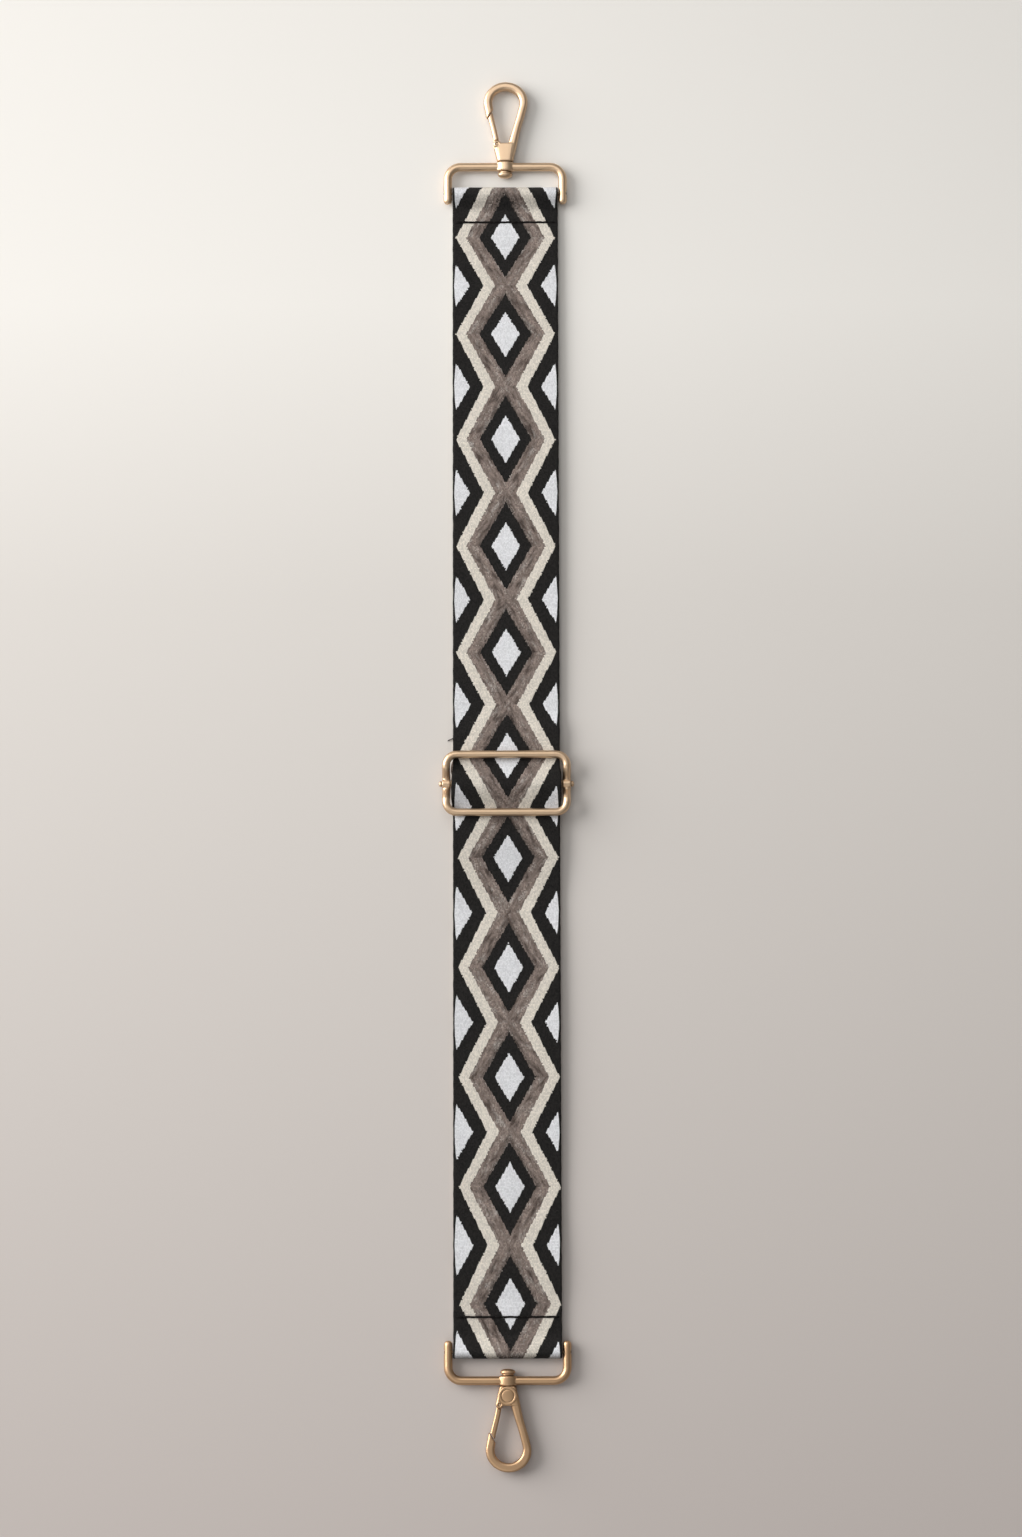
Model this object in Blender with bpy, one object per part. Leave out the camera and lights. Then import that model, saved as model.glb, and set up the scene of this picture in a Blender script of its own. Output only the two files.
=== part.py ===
# Detachable bag strap: woven webbing, a sliding adjuster and a swivel snap hook on a ring at each end.
# It lies flat with its front up: X across the webbing, Y along it, Z up, the origin under its middle.
# The webbing is one length. From its sewn loop on the adjuster's middle bar it runs up behind, round
# the top ring's bar, down the front through the adjuster, and round the bottom ring's bar.
import math

import bmesh
import bpy
from mathutils import Matrix, Vector

MM = 0.001
ACROSS = Vector((1, 0, 0))
ALONG = Vector((0, 1, 0))
UP = Vector((0, 0, 1))

# Fits
FIT = 0.3 * MM  # between faces that touch
OVERRUN = 1 * MM  # how far a cutter passes the face that it cuts

# Webbing
WEB_WIDTH = 50 * MM
WEB_THICK = 1.4 * MM
WEB_EDGE = 0.3 * MM  # the softened corner along each selvedge
BARS_APART = 546.2 * MM  # from the top ring's bar to the bottom ring's
TAIL_LENGTH = 24 * MM  # sewn tail behind the bottom fold, from the bar
LOOP_TAIL_PAST = 8.05 * MM  # sewn tail of the adjuster's loop, past the adjuster's end wire
FOLD_RAMP = 9 * MM  # run in which the front comes down from a fold
LAYER_RAMP = 12 * MM  # run in which it comes down from one layer to the next
LEAD = 2 * MM  # straight run before a ramp

# Ring
RING_BAR_RADIUS = 1.3 * MM
RING_JOURNAL_RADIUS = 0.8 * MM
RING_WIRE_RADIUS = 1.9 * MM
RING_SIDE_GAP = 0.5 * MM  # webbing's edge to the ring's leg
RING_CORNER_RADIUS = 6.1 * MM  # of the wire's centre line
RING_REACH = 13 * MM  # bar to far wire
RING_LEG_TAIL = 5 * MM  # leg past the bar
BARREL_LENGTH = 4.4 * MM
BARREL_WIDTH = 8.2 * MM
BARREL_RIM = 0.5 * MM

# Swivel rivet
RIVET_RADIUS = 1.2 * MM
RIVET_HEAD_RADIUS = 3.5 * MM
RIVET_HEAD_HEIGHT = 2.9 * MM
RIVET_DEPTH = 3.5 * MM  # shank inside the hook

# Hook, from the swivel's barrel outwards
HOOK_REACH = 41.4 * MM  # far wire to the tip
BASE_START = 2.5 * MM
BASE_END = 11.2 * MM
BASE_TOP_WIDTH = 7.4 * MM
BASE_WIDTH = 11.2 * MM  # at its end
GROUND_GAP = 0.4 * MM  # under the hook's base
BOW_RADIUS = 10 * MM  # outside
BOW_OFFSET = 0.3 * MM  # of the bow's centre towards the spine's side
BOW_WIDTH = 3.9 * MM
WAIST_WIDTH = 3.2 * MM  # halfway up the spine
NOSE_WIDTH = 3.5 * MM
SPINE_WIDTH = 4.2 * MM
SPINE_THICK = 4.6 * MM
BOW_THICK = 4 * MM
SPINE_INSET = 2.1 * MM  # the spine's root, in from the base's edge
CHEEK = 0.9 * MM
CAP_RADIUS = 3.9 * MM
CAP_THICK = 0.6 * MM
CAP_RECESS = 0.6 * MM
CAP_CENTRE = 6.7 * MM  # from the far wire

# Gate
GATE_PIN_RADIUS = 0.5 * MM
HUB_RADIUS = 1.4 * MM
HUB_BACK = 0.5 * MM  # from the base's end back to the pin
LUG_CHAMFER = 0.5 * MM
EAR = 0.6 * MM
GATE_WIDTH = 2.5 * MM
GATE_THICK = 3.6 * MM
GATE_CHANNEL_LENGTH = 4 * MM
GATE_TIP_PAST = 0.8 * MM  # past the middle of the nose's seat
BOW_END_ANGLE = -11  # where the bow runs out into the straight nose
NOSE_LENGTH = 4.3 * MM  # from there to the middle of the seat
SEAT_ANGLE = 60  # of the nose's seat to the hook's length
SPRING_WIRE_RADIUS = 0.17 * MM
SPRING_PITCH = 0.48 * MM
SPRING_TURNS = 2
SPRING_GAP = 0.25 * MM  # pin to coil
SPRING_LEG = 2.2 * MM

# Adjuster
ADJUSTER_AT = -10.1 * MM  # middle bar, from the strap's middle
ADJUSTER_LENGTH = 31.4 * MM
ADJUSTER_WIRE_RADIUS = 1.75 * MM
ADJUSTER_SIDE_GAP = 1.5 * MM
ADJUSTER_CORNER_RADIUS = 5.1 * MM
ADJUSTER_BAR_RADIUS = 1.4 * MM
ADJUSTER_JOURNAL_RADIUS = 0.9 * MM
COLLAR_RADIUS = 2 * MM
COLLAR_LENGTH = 0.8 * MM
EYELET_RADIUS = 2.3 * MM  # round the middle bar's ends
ADJUSTER_HEAD_RADIUS = 1.35 * MM
ADJUSTER_HEAD_LENGTH = 1.4 * MM
EXIT_RAMP = 18 * MM  # run in which the webbing comes down below the adjuster

# Places that follow from the sizes
LAYER = WEB_THICK + FIT
FOLD_RADIUS = RING_BAR_RADIUS + FIT + WEB_THICK / 2  # of the webbing's middle
RING_BAR_Z = FOLD_RADIUS + WEB_THICK / 2
LEG_X = WEB_WIDTH / 2 + RING_SIDE_GAP + RING_WIRE_RADIUS
LOOP_RADIUS = ADJUSTER_BAR_RADIUS + FIT + WEB_THICK / 2
ADJUSTER_BAR_Z = LOOP_RADIUS + WEB_THICK / 2
CROSSING_RADIUS = LOOP_RADIUS + LAYER
ADJUSTER_SIDE_X = WEB_WIDTH / 2 + ADJUSTER_SIDE_GAP + ADJUSTER_WIRE_RADIUS
ADJUSTER_END = ADJUSTER_LENGTH / 2 - ADJUSTER_WIRE_RADIUS  # bar to end wire, centre to centre
ADJUSTER_END_Z = 3 * WEB_THICK + 3 * FIT + ADJUSTER_WIRE_RADIUS
LOOP_TAIL_END = ADJUSTER_END + LOOP_TAIL_PAST  # from the middle bar
BASE_HALF = RING_BAR_Z - GROUND_GAP
SLOT_HALF = BASE_HALF - CHEEK
HUB_HALF = SLOT_HALF - FIT
HUB_Y = BASE_END - HUB_BACK
BASE_FLARE = (BASE_WIDTH - BASE_TOP_WIDTH) / 2 / (BASE_END - BASE_START)
HUB_AT = Vector((BASE_TOP_WIDTH / 2 + BASE_FLARE * (HUB_Y - BASE_START) - HUB_RADIUS - FIT, HUB_Y, 0))
BOW_CENTRE = Vector((-BOW_OFFSET, HOOK_REACH - BOW_RADIUS, 0))
BOW_LINE_RADIUS = BOW_RADIUS - BOW_WIDTH / 2
BOW_END_TURN = math.radians(BOW_END_ANGLE)
BOW_END = BOW_CENTRE + BOW_LINE_RADIUS * Vector((math.cos(BOW_END_TURN), math.sin(BOW_END_TURN), 0))
NOSE_RUN = Vector((math.sin(BOW_END_TURN), -math.cos(BOW_END_TURN), 0))
NOSE_AT = BOW_END + NOSE_LENGTH * NOSE_RUN

# Sections as shares of their half width and half height
WIRE_SIDES = 14
HOOK_SECTION_SHARES = (
    (0.5, 1), (0.88, 0.84), (1, 0.4), (1, -0.3), (0.8, -0.78), (0.35, -1),
    (-0.35, -1), (-0.8, -0.78), (-1, -0.3), (-1, 0.4), (-0.88, 0.84), (-0.5, 1),
)
BASE_SECTION_SHARES = (
    (0.72, 1), (0.87, 0.95), (0.97, 0.78), (1, 0.45), (1, -0.3), (0.95, -0.62), (0.83, -0.84), (0.6, -0.97), (0.3, -1),
    (-0.3, -1), (-0.6, -0.97), (-0.83, -0.84), (-0.95, -0.62), (-1, -0.3), (-1, 0.45), (-0.97, 0.78), (-0.87, 0.95),
    (-0.72, 1),
)
# The rivet's head, a low dome over a rim and a neck: shares of its radius and of its height
HEAD_SHARES = (
    (0.3, 1), (0.62, 0.93), (0.85, 0.78), (0.97, 0.6), (1, 0.45), (0.95, 0.3), (0.78, 0.24), (0.78, 0),
)
# The hook's arm: how far along it, from the spine's root to the nose
WAIST_SHARE = 0.11
BOW_SHARE = 0.4
# A rod's rounded end: how far from its tip, and how thick, as shares of its radius
TIP_SHARES = ((0, 0.45), (0.2, 0.75), (0.6, 0.95))

GOLD = ((0.76, 0.5, 0.27, 1), 0.28, 1)
DARK_GOLD = ((0.6, 0.38, 0.2, 1), 0.35, 1)
SPRING_STEEL = ((0.55, 0.53, 0.5, 1), 0.3, 1)
WEBBING_BLACK = ((0.02, 0.018, 0.016, 1), 0.85, 0)
WEBBING_TAUPE = ((0.26, 0.21, 0.18, 1), 0.85, 0)


# Shapes


def material_for(name, finish):
    colour, roughness, metallic = finish
    made = bpy.data.materials.new(name)
    made.use_nodes = True
    shader = made.node_tree.nodes["Principled BSDF"]
    shader.inputs["Base Color"].default_value = colour
    shader.inputs["Roughness"].default_value = roughness
    shader.inputs["Metallic"].default_value = metallic
    made.diffuse_color = colour
    return made


def new_object(name, mesh, parent, finish):
    obj = bpy.data.objects.new(name, mesh)
    bpy.context.collection.objects.link(obj)
    obj.parent = parent
    if finish:
        mesh.materials.append(material_for(name, finish))
    return obj


def loft(name, rings, parent, finish=None, cyclic=False):
    """A closed skin over rings of points, capped unless the run closes on itself."""
    bm = bmesh.new()
    loops = [[bm.verts.new(point) for point in ring] for ring in rings]
    follow = loops[1:] + (loops[:1] if cyclic else [])
    for first, second in zip(loops, follow):
        for i in range(len(first)):
            j = (i + 1) % len(first)
            bm.faces.new((first[i], first[j], second[j], second[i]))
    if not cyclic:
        bm.faces.new(loops[0])
        bm.faces.new(loops[-1])
    bmesh.ops.recalc_face_normals(bm, faces=bm.faces)
    mesh = bpy.data.meshes.new(name)
    bm.to_mesh(mesh)
    bm.free()
    mesh.shade_smooth()
    mesh.set_sharp_from_angle(angle=math.radians(40))
    return new_object(name, mesh, parent, finish)


def empty(name, place, parent=None, turn=None):
    obj = bpy.data.objects.new(name, None)
    obj.empty_display_size = RING_REACH
    bpy.context.collection.objects.link(obj)
    obj.parent = parent
    obj.location = place
    if turn:
        obj.rotation_euler = turn
    return obj


def helper(obj):
    """Marks a shape that only cuts or joins another."""
    obj.hide_render = True
    obj.display_type = "WIRE"
    return obj


def boolean(obj, tool, operation):
    step = obj.modifiers.new(tool.name, "BOOLEAN")
    step.operation = operation
    step.object = helper(tool)


def circle(centre, radius, first, second, sides):
    turns = [math.tau * i / sides for i in range(sides)]
    return [centre + radius * (math.cos(a) * first + math.sin(a) * second) for a in turns]


def arc(centre, radius, start, end, steps):
    """Points on an arc in the XY plane, its angles in degrees."""
    angles = [math.radians(start + (end - start) * i / steps) for i in range(steps + 1)]
    return [centre + radius * Vector((math.cos(a), math.sin(a), 0)) for a in angles]


def directions(points, cyclic=False):
    """At each point of a run, the way to its side and the way up."""
    found = []
    for i, point in enumerate(points):
        before = points[i - 1] if cyclic or i else point
        after = points[(i + 1) % len(points)] if cyclic or i + 1 < len(points) else point
        run = (after - before).normalized()
        side = run.cross(UP).normalized()
        found.append((side, side.cross(run)))
    return found


def sweep(name, points, sections, parent, finish=None, cyclic=False):
    """Sections of (aside, up) offsets carried along a run of points."""
    rings = []
    for point, (side, rise), section in zip(points, directions(points, cyclic), sections):
        rings.append([point + aside * side + up * rise for aside, up in section])
    return loft(name, rings, parent, finish, cyclic)


def scaled(shares, half_width, half_height):
    return [(a * half_width, b * half_height) for a, b in shares]


def round_section(radius, sides=WIRE_SIDES):
    turns = [math.tau * i / sides for i in range(sides)]
    return [(radius * math.cos(a), radius * math.sin(a)) for a in turns]


def rod(name, points, radius, parent, finish):
    """A wire along the points, with both ends rounded."""
    first, last = points[0], points[-1]
    inwards = (points[1] - first).normalized()
    outwards = (last - points[-2]).normalized()
    line, radii = [], []
    for away, share in TIP_SHARES:
        line.append(first + away * radius * inwards)
        radii.append(share * radius)
    line.append(first + radius * inwards)
    line += points[1:-1]
    line.append(last - radius * outwards)
    radii += [radius] * (len(points))
    for away, share in reversed(TIP_SHARES):
        line.append(last - away * radius * outwards)
        radii.append(share * radius)
    return sweep(name, line, [round_section(r) for r in radii], parent, finish)


def turned(name, profile, axis, origin, parent, finish=None, squash=1, sides=24):
    """A turned piece: profile is (radius, place along the axis); squash flattens it in height."""
    first = axis.cross(UP).normalized() if abs(axis.z) < 0.5 else ACROSS
    second = first.cross(axis) * squash
    rings = [circle(origin + place * axis, radius, first, second, sides) for radius, place in profile]
    return loft(name, rings, parent, finish)


def drum(name, radius, start, end, axis, origin, parent, sides=24):
    return turned(name, ((radius, start), (radius, end)), axis, origin, parent, sides=sides)


def block(name, low, high, parent, finish=None):
    rings = []
    for z in (low.z, high.z):
        rings.append([Vector((x, y, z)) for x, y in
                      ((low.x, low.y), (high.x, low.y), (high.x, high.y), (low.x, high.y))])
    return loft(name, rings, parent, finish)


# Webbing


def layer_z(number):
    """The middle of a layer of webbing, counted from 0 on the ground."""
    return WEB_THICK / 2 + number * LAYER


def ramp(start_y, start_z, end_y, end_z, steps=8):
    """A soft step between two heights, without its first point."""
    found = []
    for i in range(1, steps + 1):
        share = i / steps
        rise = (1 - math.cos(math.pi * share)) / 2
        found.append(Vector((0, start_y + (end_y - start_y) * share, start_z + (end_z - start_z) * rise)))
    return found


def turn_round(bar_y, bar_z, radius, start, end, steps=12):
    """The webbing's turn round a bar; 90 degrees is on top and 0 is towards +Y."""
    angles = [math.radians(start + (end - start) * i / steps) for i in range(steps + 1)]
    return [Vector((0, bar_y + radius * math.cos(a), bar_z + radius * math.sin(a))) for a in angles]


def ribbon(name, points, parent, finish):
    half, thick, edge = WEB_WIDTH / 2, WEB_THICK / 2, WEB_EDGE
    section = [(half, thick - edge), (half - edge, thick), (edge - half, thick), (-half, thick - edge),
               (-half, edge - thick), (edge - half, -thick), (half - edge, -thick), (half, edge - thick)]
    rings = []
    for i, point in enumerate(points):
        run = (points[min(i + 1, len(points) - 1)] - points[max(i - 1, 0)]).normalized()
        rise = ACROSS.cross(run)
        rings.append([point + x * ACROSS + up * rise for x, up in section])
    return loft(name, rings, parent, finish)


def webbing_upper(strap):
    """From the adjuster up the front, round the top bar and back down behind to the sewn loop."""
    bar_y = BARS_APART / 2
    start = ADJUSTER_AT + ADJUSTER_END + FIT / 2
    drop = ADJUSTER_AT + LOOP_TAIL_END + LEAD
    points = [Vector((0, start, layer_z(2))), Vector((0, drop, layer_z(2)))]
    points += ramp(drop, layer_z(2), drop + LAYER_RAMP, layer_z(1))
    points.append(Vector((0, bar_y - FOLD_RAMP - LEAD, layer_z(1))))
    points += ramp(bar_y - FOLD_RAMP, layer_z(1), bar_y, RING_BAR_Z + FOLD_RADIUS)
    points += turn_round(bar_y, RING_BAR_Z, FOLD_RADIUS, 90, -90)[1:]
    points += [Vector((0, drop + LAYER_RAMP, layer_z(0)))]
    points += ramp(drop + LAYER_RAMP, layer_z(0), drop, layer_z(1))
    points.append(Vector((0, start, layer_z(1))))
    return ribbon("webbing_upper", points, strap, WEBBING_BLACK)


def webbing_crossing(adjuster):
    """Under both ends of the adjuster and over its middle bar."""
    end = ADJUSTER_END - FIT / 2
    top = ADJUSTER_BAR_Z + CROSSING_RADIUS
    points = [Vector((0, -end, layer_z(2)))]
    points += ramp(-end, layer_z(2), 0, top)
    points += ramp(0, top, end, layer_z(2))
    return ribbon("webbing_crossing", points, adjuster, WEBBING_BLACK)


def webbing_end_loop(adjuster):
    """The sewn loop on the middle bar, its tail beneath."""
    points = [Vector((0, LOOP_TAIL_END, layer_z(0)))]
    points += turn_round(0, ADJUSTER_BAR_Z, LOOP_RADIUS, 270, 90)
    points += ramp(0, ADJUSTER_BAR_Z + LOOP_RADIUS, LAYER_RAMP, layer_z(1))
    points.append(Vector((0, ADJUSTER_END - FIT / 2, layer_z(1))))
    return ribbon("webbing_end_loop", points, adjuster, WEBBING_TAUPE)


def webbing_lower(strap):
    """From the adjuster down to the bottom bar, round it, and back as a sewn tail."""
    bar_y = -BARS_APART / 2
    start = ADJUSTER_AT - ADJUSTER_END - FIT / 2
    tail = bar_y + TAIL_LENGTH
    points = [Vector((0, tail, layer_z(0)))]
    points += turn_round(bar_y, RING_BAR_Z, FOLD_RADIUS, 270, 90)
    points += ramp(bar_y, RING_BAR_Z + FOLD_RADIUS, bar_y + FOLD_RAMP, layer_z(1))
    points.append(Vector((0, tail + LEAD, layer_z(1))))
    points += ramp(tail + LEAD, layer_z(1), tail + LEAD + LAYER_RAMP, layer_z(0))
    points.append(Vector((0, start - EXIT_RAMP, layer_z(0))))
    points += ramp(start - EXIT_RAMP, layer_z(0), start, layer_z(2))
    return ribbon("webbing_lower", points, strap, WEBBING_BLACK)


# Adjuster


def adjuster_line():
    """The frame's centre line: level at both ends, its sides dropping to the middle bar."""
    corner_x = ADJUSTER_SIDE_X - ADJUSTER_CORNER_RADIUS
    corner_y = ADJUSTER_END - ADJUSTER_CORNER_RADIUS
    line = []
    for x, y, start in ((corner_x, corner_y, 0), (-corner_x, corner_y, 90),
                        (-corner_x, -corner_y, 180), (corner_x, -corner_y, 270)):
        line += arc(Vector((x, y, 0)), ADJUSTER_CORNER_RADIUS, start, start + 90, 6)
        if start in (90, 270):
            side = -ADJUSTER_SIDE_X if start == 90 else ADJUSTER_SIDE_X
            line += [Vector((side, (1 - i / 8) * y, 0)) for i in range(1, 16)]
    for point in line:
        share = min(max((abs(point.y) - EYELET_RADIUS) / (corner_y - EYELET_RADIUS), 0), 1)
        rise = share * share * (3 - 2 * share)
        point.z = ADJUSTER_BAR_Z + (ADJUSTER_END_Z - ADJUSTER_BAR_Z) * rise
    return line


def slider_frame(adjuster):
    line = adjuster_line()
    sections = [round_section(ADJUSTER_WIRE_RADIUS)] * len(line)
    frame = sweep("slider_frame", line, sections, adjuster, GOLD, cyclic=True)
    hole = ADJUSTER_JOURNAL_RADIUS + FIT
    middle = Vector((0, 0, ADJUSTER_BAR_Z))
    near, far = ADJUSTER_SIDE_X - ADJUSTER_WIRE_RADIUS, ADJUSTER_SIDE_X + ADJUSTER_WIRE_RADIUS
    for side, start, end in (("left", -far, -near), ("right", near, far)):
        boolean(frame, drum(f"slider_{side}_eyelet", EYELET_RADIUS, start, end, ACROSS, middle, adjuster), "UNION")
    reach = far + OVERRUN
    boolean(frame, drum("slider_bar_holes", hole, -reach, reach, ACROSS, middle, adjuster), "DIFFERENCE")
    return frame


def slider_bar(adjuster):
    """The middle bar: collars against the frame's sides, thinner ends through them, riveted heads."""
    inside = ADJUSTER_SIDE_X - ADJUSTER_WIRE_RADIUS - FIT
    outside = ADJUSTER_SIDE_X + ADJUSTER_WIRE_RADIUS + FIT
    tip = outside + ADJUSTER_HEAD_LENGTH
    half = [
        (ADJUSTER_BAR_RADIUS, inside - COLLAR_LENGTH),
        (COLLAR_RADIUS, inside - COLLAR_LENGTH),
        (COLLAR_RADIUS, inside),
        (ADJUSTER_JOURNAL_RADIUS, inside),
        (ADJUSTER_JOURNAL_RADIUS, outside),
        (ADJUSTER_HEAD_RADIUS, outside),
        (ADJUSTER_HEAD_RADIUS, tip - ADJUSTER_HEAD_RADIUS / 2),
        (ADJUSTER_HEAD_RADIUS * 0.8, tip - ADJUSTER_HEAD_RADIUS / 5),
        (ADJUSTER_HEAD_RADIUS * 0.4, tip),
    ]
    profile = [(radius, -place) for radius, place in reversed(half)] + half
    middle = Vector((0, 0, ADJUSTER_BAR_Z))
    return turned("slider_bar", profile, ACROSS, middle, adjuster, DARK_GOLD, sides=16)


# Rings


def ring_frame(end, ring):
    corner = RING_REACH - RING_CORNER_RADIUS
    inner = LEG_X - RING_CORNER_RADIUS
    line = [Vector((LEG_X, -RING_LEG_TAIL, 0)), Vector((LEG_X, 0, 0))]
    line += arc(Vector((inner, corner, 0)), RING_CORNER_RADIUS, 0, 90, 8)
    line += arc(Vector((-inner, corner, 0)), RING_CORNER_RADIUS, 90, 180, 8)
    line += [Vector((-LEG_X, 0, 0)), Vector((-LEG_X, -RING_LEG_TAIL, 0))]
    frame = rod(f"{end}_ring_frame", line, RING_WIRE_RADIUS, ring, GOLD)
    wide, half = BARREL_WIDTH / 2, BARREL_LENGTH / 2
    profile = (
        (wide - BARREL_RIM, -half), (wide, BARREL_RIM - half), (wide, half - BARREL_RIM), (wide - BARREL_RIM, half)
    )
    at = Vector((0, RING_REACH, 0))
    barrel = turned(f"{end}_barrel", profile, ALONG, at, ring, squash=RING_BAR_Z / wide, sides=32)
    boolean(frame, barrel, "UNION")
    bore = RIVET_RADIUS + FIT
    reach = half + OVERRUN
    boolean(frame, drum(f"{end}_barrel_bore", bore, -reach, reach, ALONG, at, ring), "DIFFERENCE")
    hole = RING_JOURNAL_RADIUS + FIT
    reach = LEG_X + RING_WIRE_RADIUS + OVERRUN
    boolean(frame, drum(f"{end}_bar_holes", hole, -reach, reach, ACROSS, Vector(), ring, 16), "DIFFERENCE")
    return frame


def ring_bar(end, parent):
    """The straight bar in the fold, turned down where it passes through the ring's legs."""
    inside = LEG_X - RING_WIRE_RADIUS - FIT
    outside = LEG_X + RING_WIRE_RADIUS
    half = [
        (RING_BAR_RADIUS, inside),
        (RING_JOURNAL_RADIUS, inside),
        (RING_JOURNAL_RADIUS, outside - RING_JOURNAL_RADIUS / 2),
        (RING_JOURNAL_RADIUS * 0.6, outside),
    ]
    profile = [(radius, -place) for radius, place in reversed(half)] + half
    return turned(f"{end}_ring_bar", profile, ACROSS, Vector(), parent, DARK_GOLD, sides=16)


# Hooks: the hook's own frame starts at the ring's far wire, its tip towards +Y, its front up, its gate at +X


def swivel_rivet(end, hook):
    face = BARREL_LENGTH / 2 + FIT
    head = [(RIVET_HEAD_RADIUS * r, -face - RIVET_HEAD_HEIGHT * h) for r, h in HEAD_SHARES]
    shank = [(RIVET_RADIUS, -face), (RIVET_RADIUS, BASE_START + RIVET_DEPTH)]
    squash = (RING_BAR_Z - FIT) / RIVET_HEAD_RADIUS
    rivet = turned(f"{end}_swivel_rivet", head + shank, ALONG, Vector(), hook, GOLD, squash=min(squash, 1))
    return rivet


def tangent_point(start, centre, radius):
    """Where a line from start touches the circle, on its -X side."""
    away = centre - start
    swing = math.asin(radius / away.length)
    run = Matrix.Rotation(swing, 3, "Z") @ away.normalized()
    return start + math.sqrt(away.length_squared - radius * radius) * run


def hook_arm_line():
    """The arm's centre line: the straight spine, then the bow round to the nose."""
    root = Vector((SPINE_INSET - BASE_TOP_WIDTH / 2 - BASE_FLARE * (CAP_CENTRE - BASE_START), CAP_CENTRE, 0))
    touch = tangent_point(root, BOW_CENTRE, BOW_LINE_RADIUS)
    start = math.degrees(math.atan2(touch.y - BOW_CENTRE.y, touch.x - BOW_CENTRE.x)) % 360
    spine = [root.lerp(touch, i / 5) for i in range(5)]
    bow = arc(BOW_CENTRE, BOW_LINE_RADIUS, start, BOW_END_ANGLE, 24)
    return spine + bow + [NOSE_AT, NOSE_AT + BOW_WIDTH * 0.7 * NOSE_RUN]


def between(value, places, sizes):
    """The size at a value, read softly between the sizes at the places."""
    for before, after, first, second in zip(places, places[1:], sizes, sizes[1:]):
        if value <= after:
            share = (value - before) / (after - before)
            return first + (second - first) * share * share * (3 - 2 * share)
    return sizes[-1]


def seat_plane():
    """The nose's seat, which the gate shuts against: a point on it and the way into the nose."""
    turn = math.radians(SEAT_ANGLE)
    return NOSE_AT, Vector((math.sin(turn), math.cos(turn), 0))


def seat_cutter(name, way, parent):
    """A block on one side of the seat, its face half a fit beyond it."""
    at, normal = seat_plane()
    normal = normal * way
    across = Vector((normal.y, -normal.x, 0))
    size = GATE_WIDTH * 2
    near, far = at + normal * FIT / 2, at - normal * size
    rings = []
    for height in (-SPINE_THICK, SPINE_THICK):
        rings.append([p + a * across + height * UP for p, a in
                      ((near, -size), (near, size), (far, size), (far, -size))])
    return loft(name, rings, parent)


def hook_body(end, hook):
    stations = (
        (BASE_START, BASE_TOP_WIDTH / 2 - FIT, BASE_HALF - FIT),
        (BASE_START + FIT, BASE_TOP_WIDTH / 2, BASE_HALF),
        (BASE_END - FIT, BASE_WIDTH / 2, BASE_HALF),
        (BASE_END, BASE_WIDTH / 2 - FIT, BASE_HALF - FIT),
    )
    points = [Vector((0, y, 0)) for y, _, _ in stations]
    sections = [scaled(BASE_SECTION_SHARES, wide, high) for _, wide, high in stations]
    body = sweep(f"{end}_hook_body", points, sections, hook, GOLD)

    line = hook_arm_line()
    last = len(line) - 1
    sections = []
    for i in range(len(line)):
        share = i / last
        wide = between(share, (0, WAIST_SHARE, BOW_SHARE, 1), (SPINE_WIDTH, WAIST_WIDTH, BOW_WIDTH, NOSE_WIDTH))
        high = between(share, (0, BOW_SHARE, 1), (SPINE_THICK, BOW_THICK, BOW_THICK))
        sections.append(scaled(HOOK_SECTION_SHARES, wide / 2, high / 2))
    arm = sweep(f"{end}_hook_arm", line, sections, hook)
    boolean(body, arm, "UNION")
    lug = HUB_RADIUS + FIT
    side = BASE_HALF - LUG_CHAMFER
    profile = ((lug - LUG_CHAMFER, -BASE_HALF), (lug, -side), (lug, side), (lug - LUG_CHAMFER, BASE_HALF))
    boolean(body, turned(f"{end}_hook_lug", profile, UP, HUB_AT, hook), "UNION")

    pocket = HUB_RADIUS + FIT
    boolean(body, drum(f"{end}_gate_pocket", pocket, -SLOT_HALF, SLOT_HALF, UP, HUB_AT, hook), "DIFFERENCE")
    low = Vector((HUB_AT.x - pocket, HUB_AT.y, -SLOT_HALF))
    high = Vector((HUB_AT.x + pocket + OVERRUN, HUB_AT.y + pocket + OVERRUN, SLOT_HALF))
    boolean(body, block(f"{end}_gate_slot", low, high, hook), "DIFFERENCE")
    low = Vector((HUB_AT.x, HUB_AT.y - pocket, -SLOT_HALF))
    high = Vector((HUB_AT.x + pocket + OVERRUN, HUB_AT.y + pocket, SLOT_HALF))
    boolean(body, block(f"{end}_gate_side_slot", low, high, hook), "DIFFERENCE")
    hole = GATE_PIN_RADIUS + FIT
    reach = BASE_HALF + OVERRUN
    boolean(body, drum(f"{end}_gate_pin_hole", hole, -reach, reach, UP, HUB_AT, hook, 16), "DIFFERENCE")
    depth = BASE_START + RIVET_DEPTH + FIT
    socket = drum(f"{end}_rivet_socket", RIVET_RADIUS + FIT, 0, depth, ALONG, Vector(), hook)
    boolean(body, socket, "DIFFERENCE")
    at = Vector((0, CAP_CENTRE, 0))
    floor = BASE_HALF - CAP_RECESS
    recess = drum(f"{end}_cap_recess", CAP_RADIUS + FIT, floor, BASE_HALF + OVERRUN, UP, at, hook, 32)
    boolean(body, recess, "DIFFERENCE")
    boolean(body, seat_cutter(f"{end}_nose_cut", 1, hook), "DIFFERENCE")
    return body


def hook_cap(end, hook):
    floor = BASE_HALF - CAP_RECESS + FIT
    profile = (
        (CAP_RADIUS, floor),
        (CAP_RADIUS, floor + CAP_THICK * 0.6),
        (CAP_RADIUS - CAP_THICK * 0.4, floor + CAP_THICK),
    )
    return turned(f"{end}_hook_cap", profile, UP, Vector((0, CAP_CENTRE, 0)), hook, GOLD, sides=32)


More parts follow.
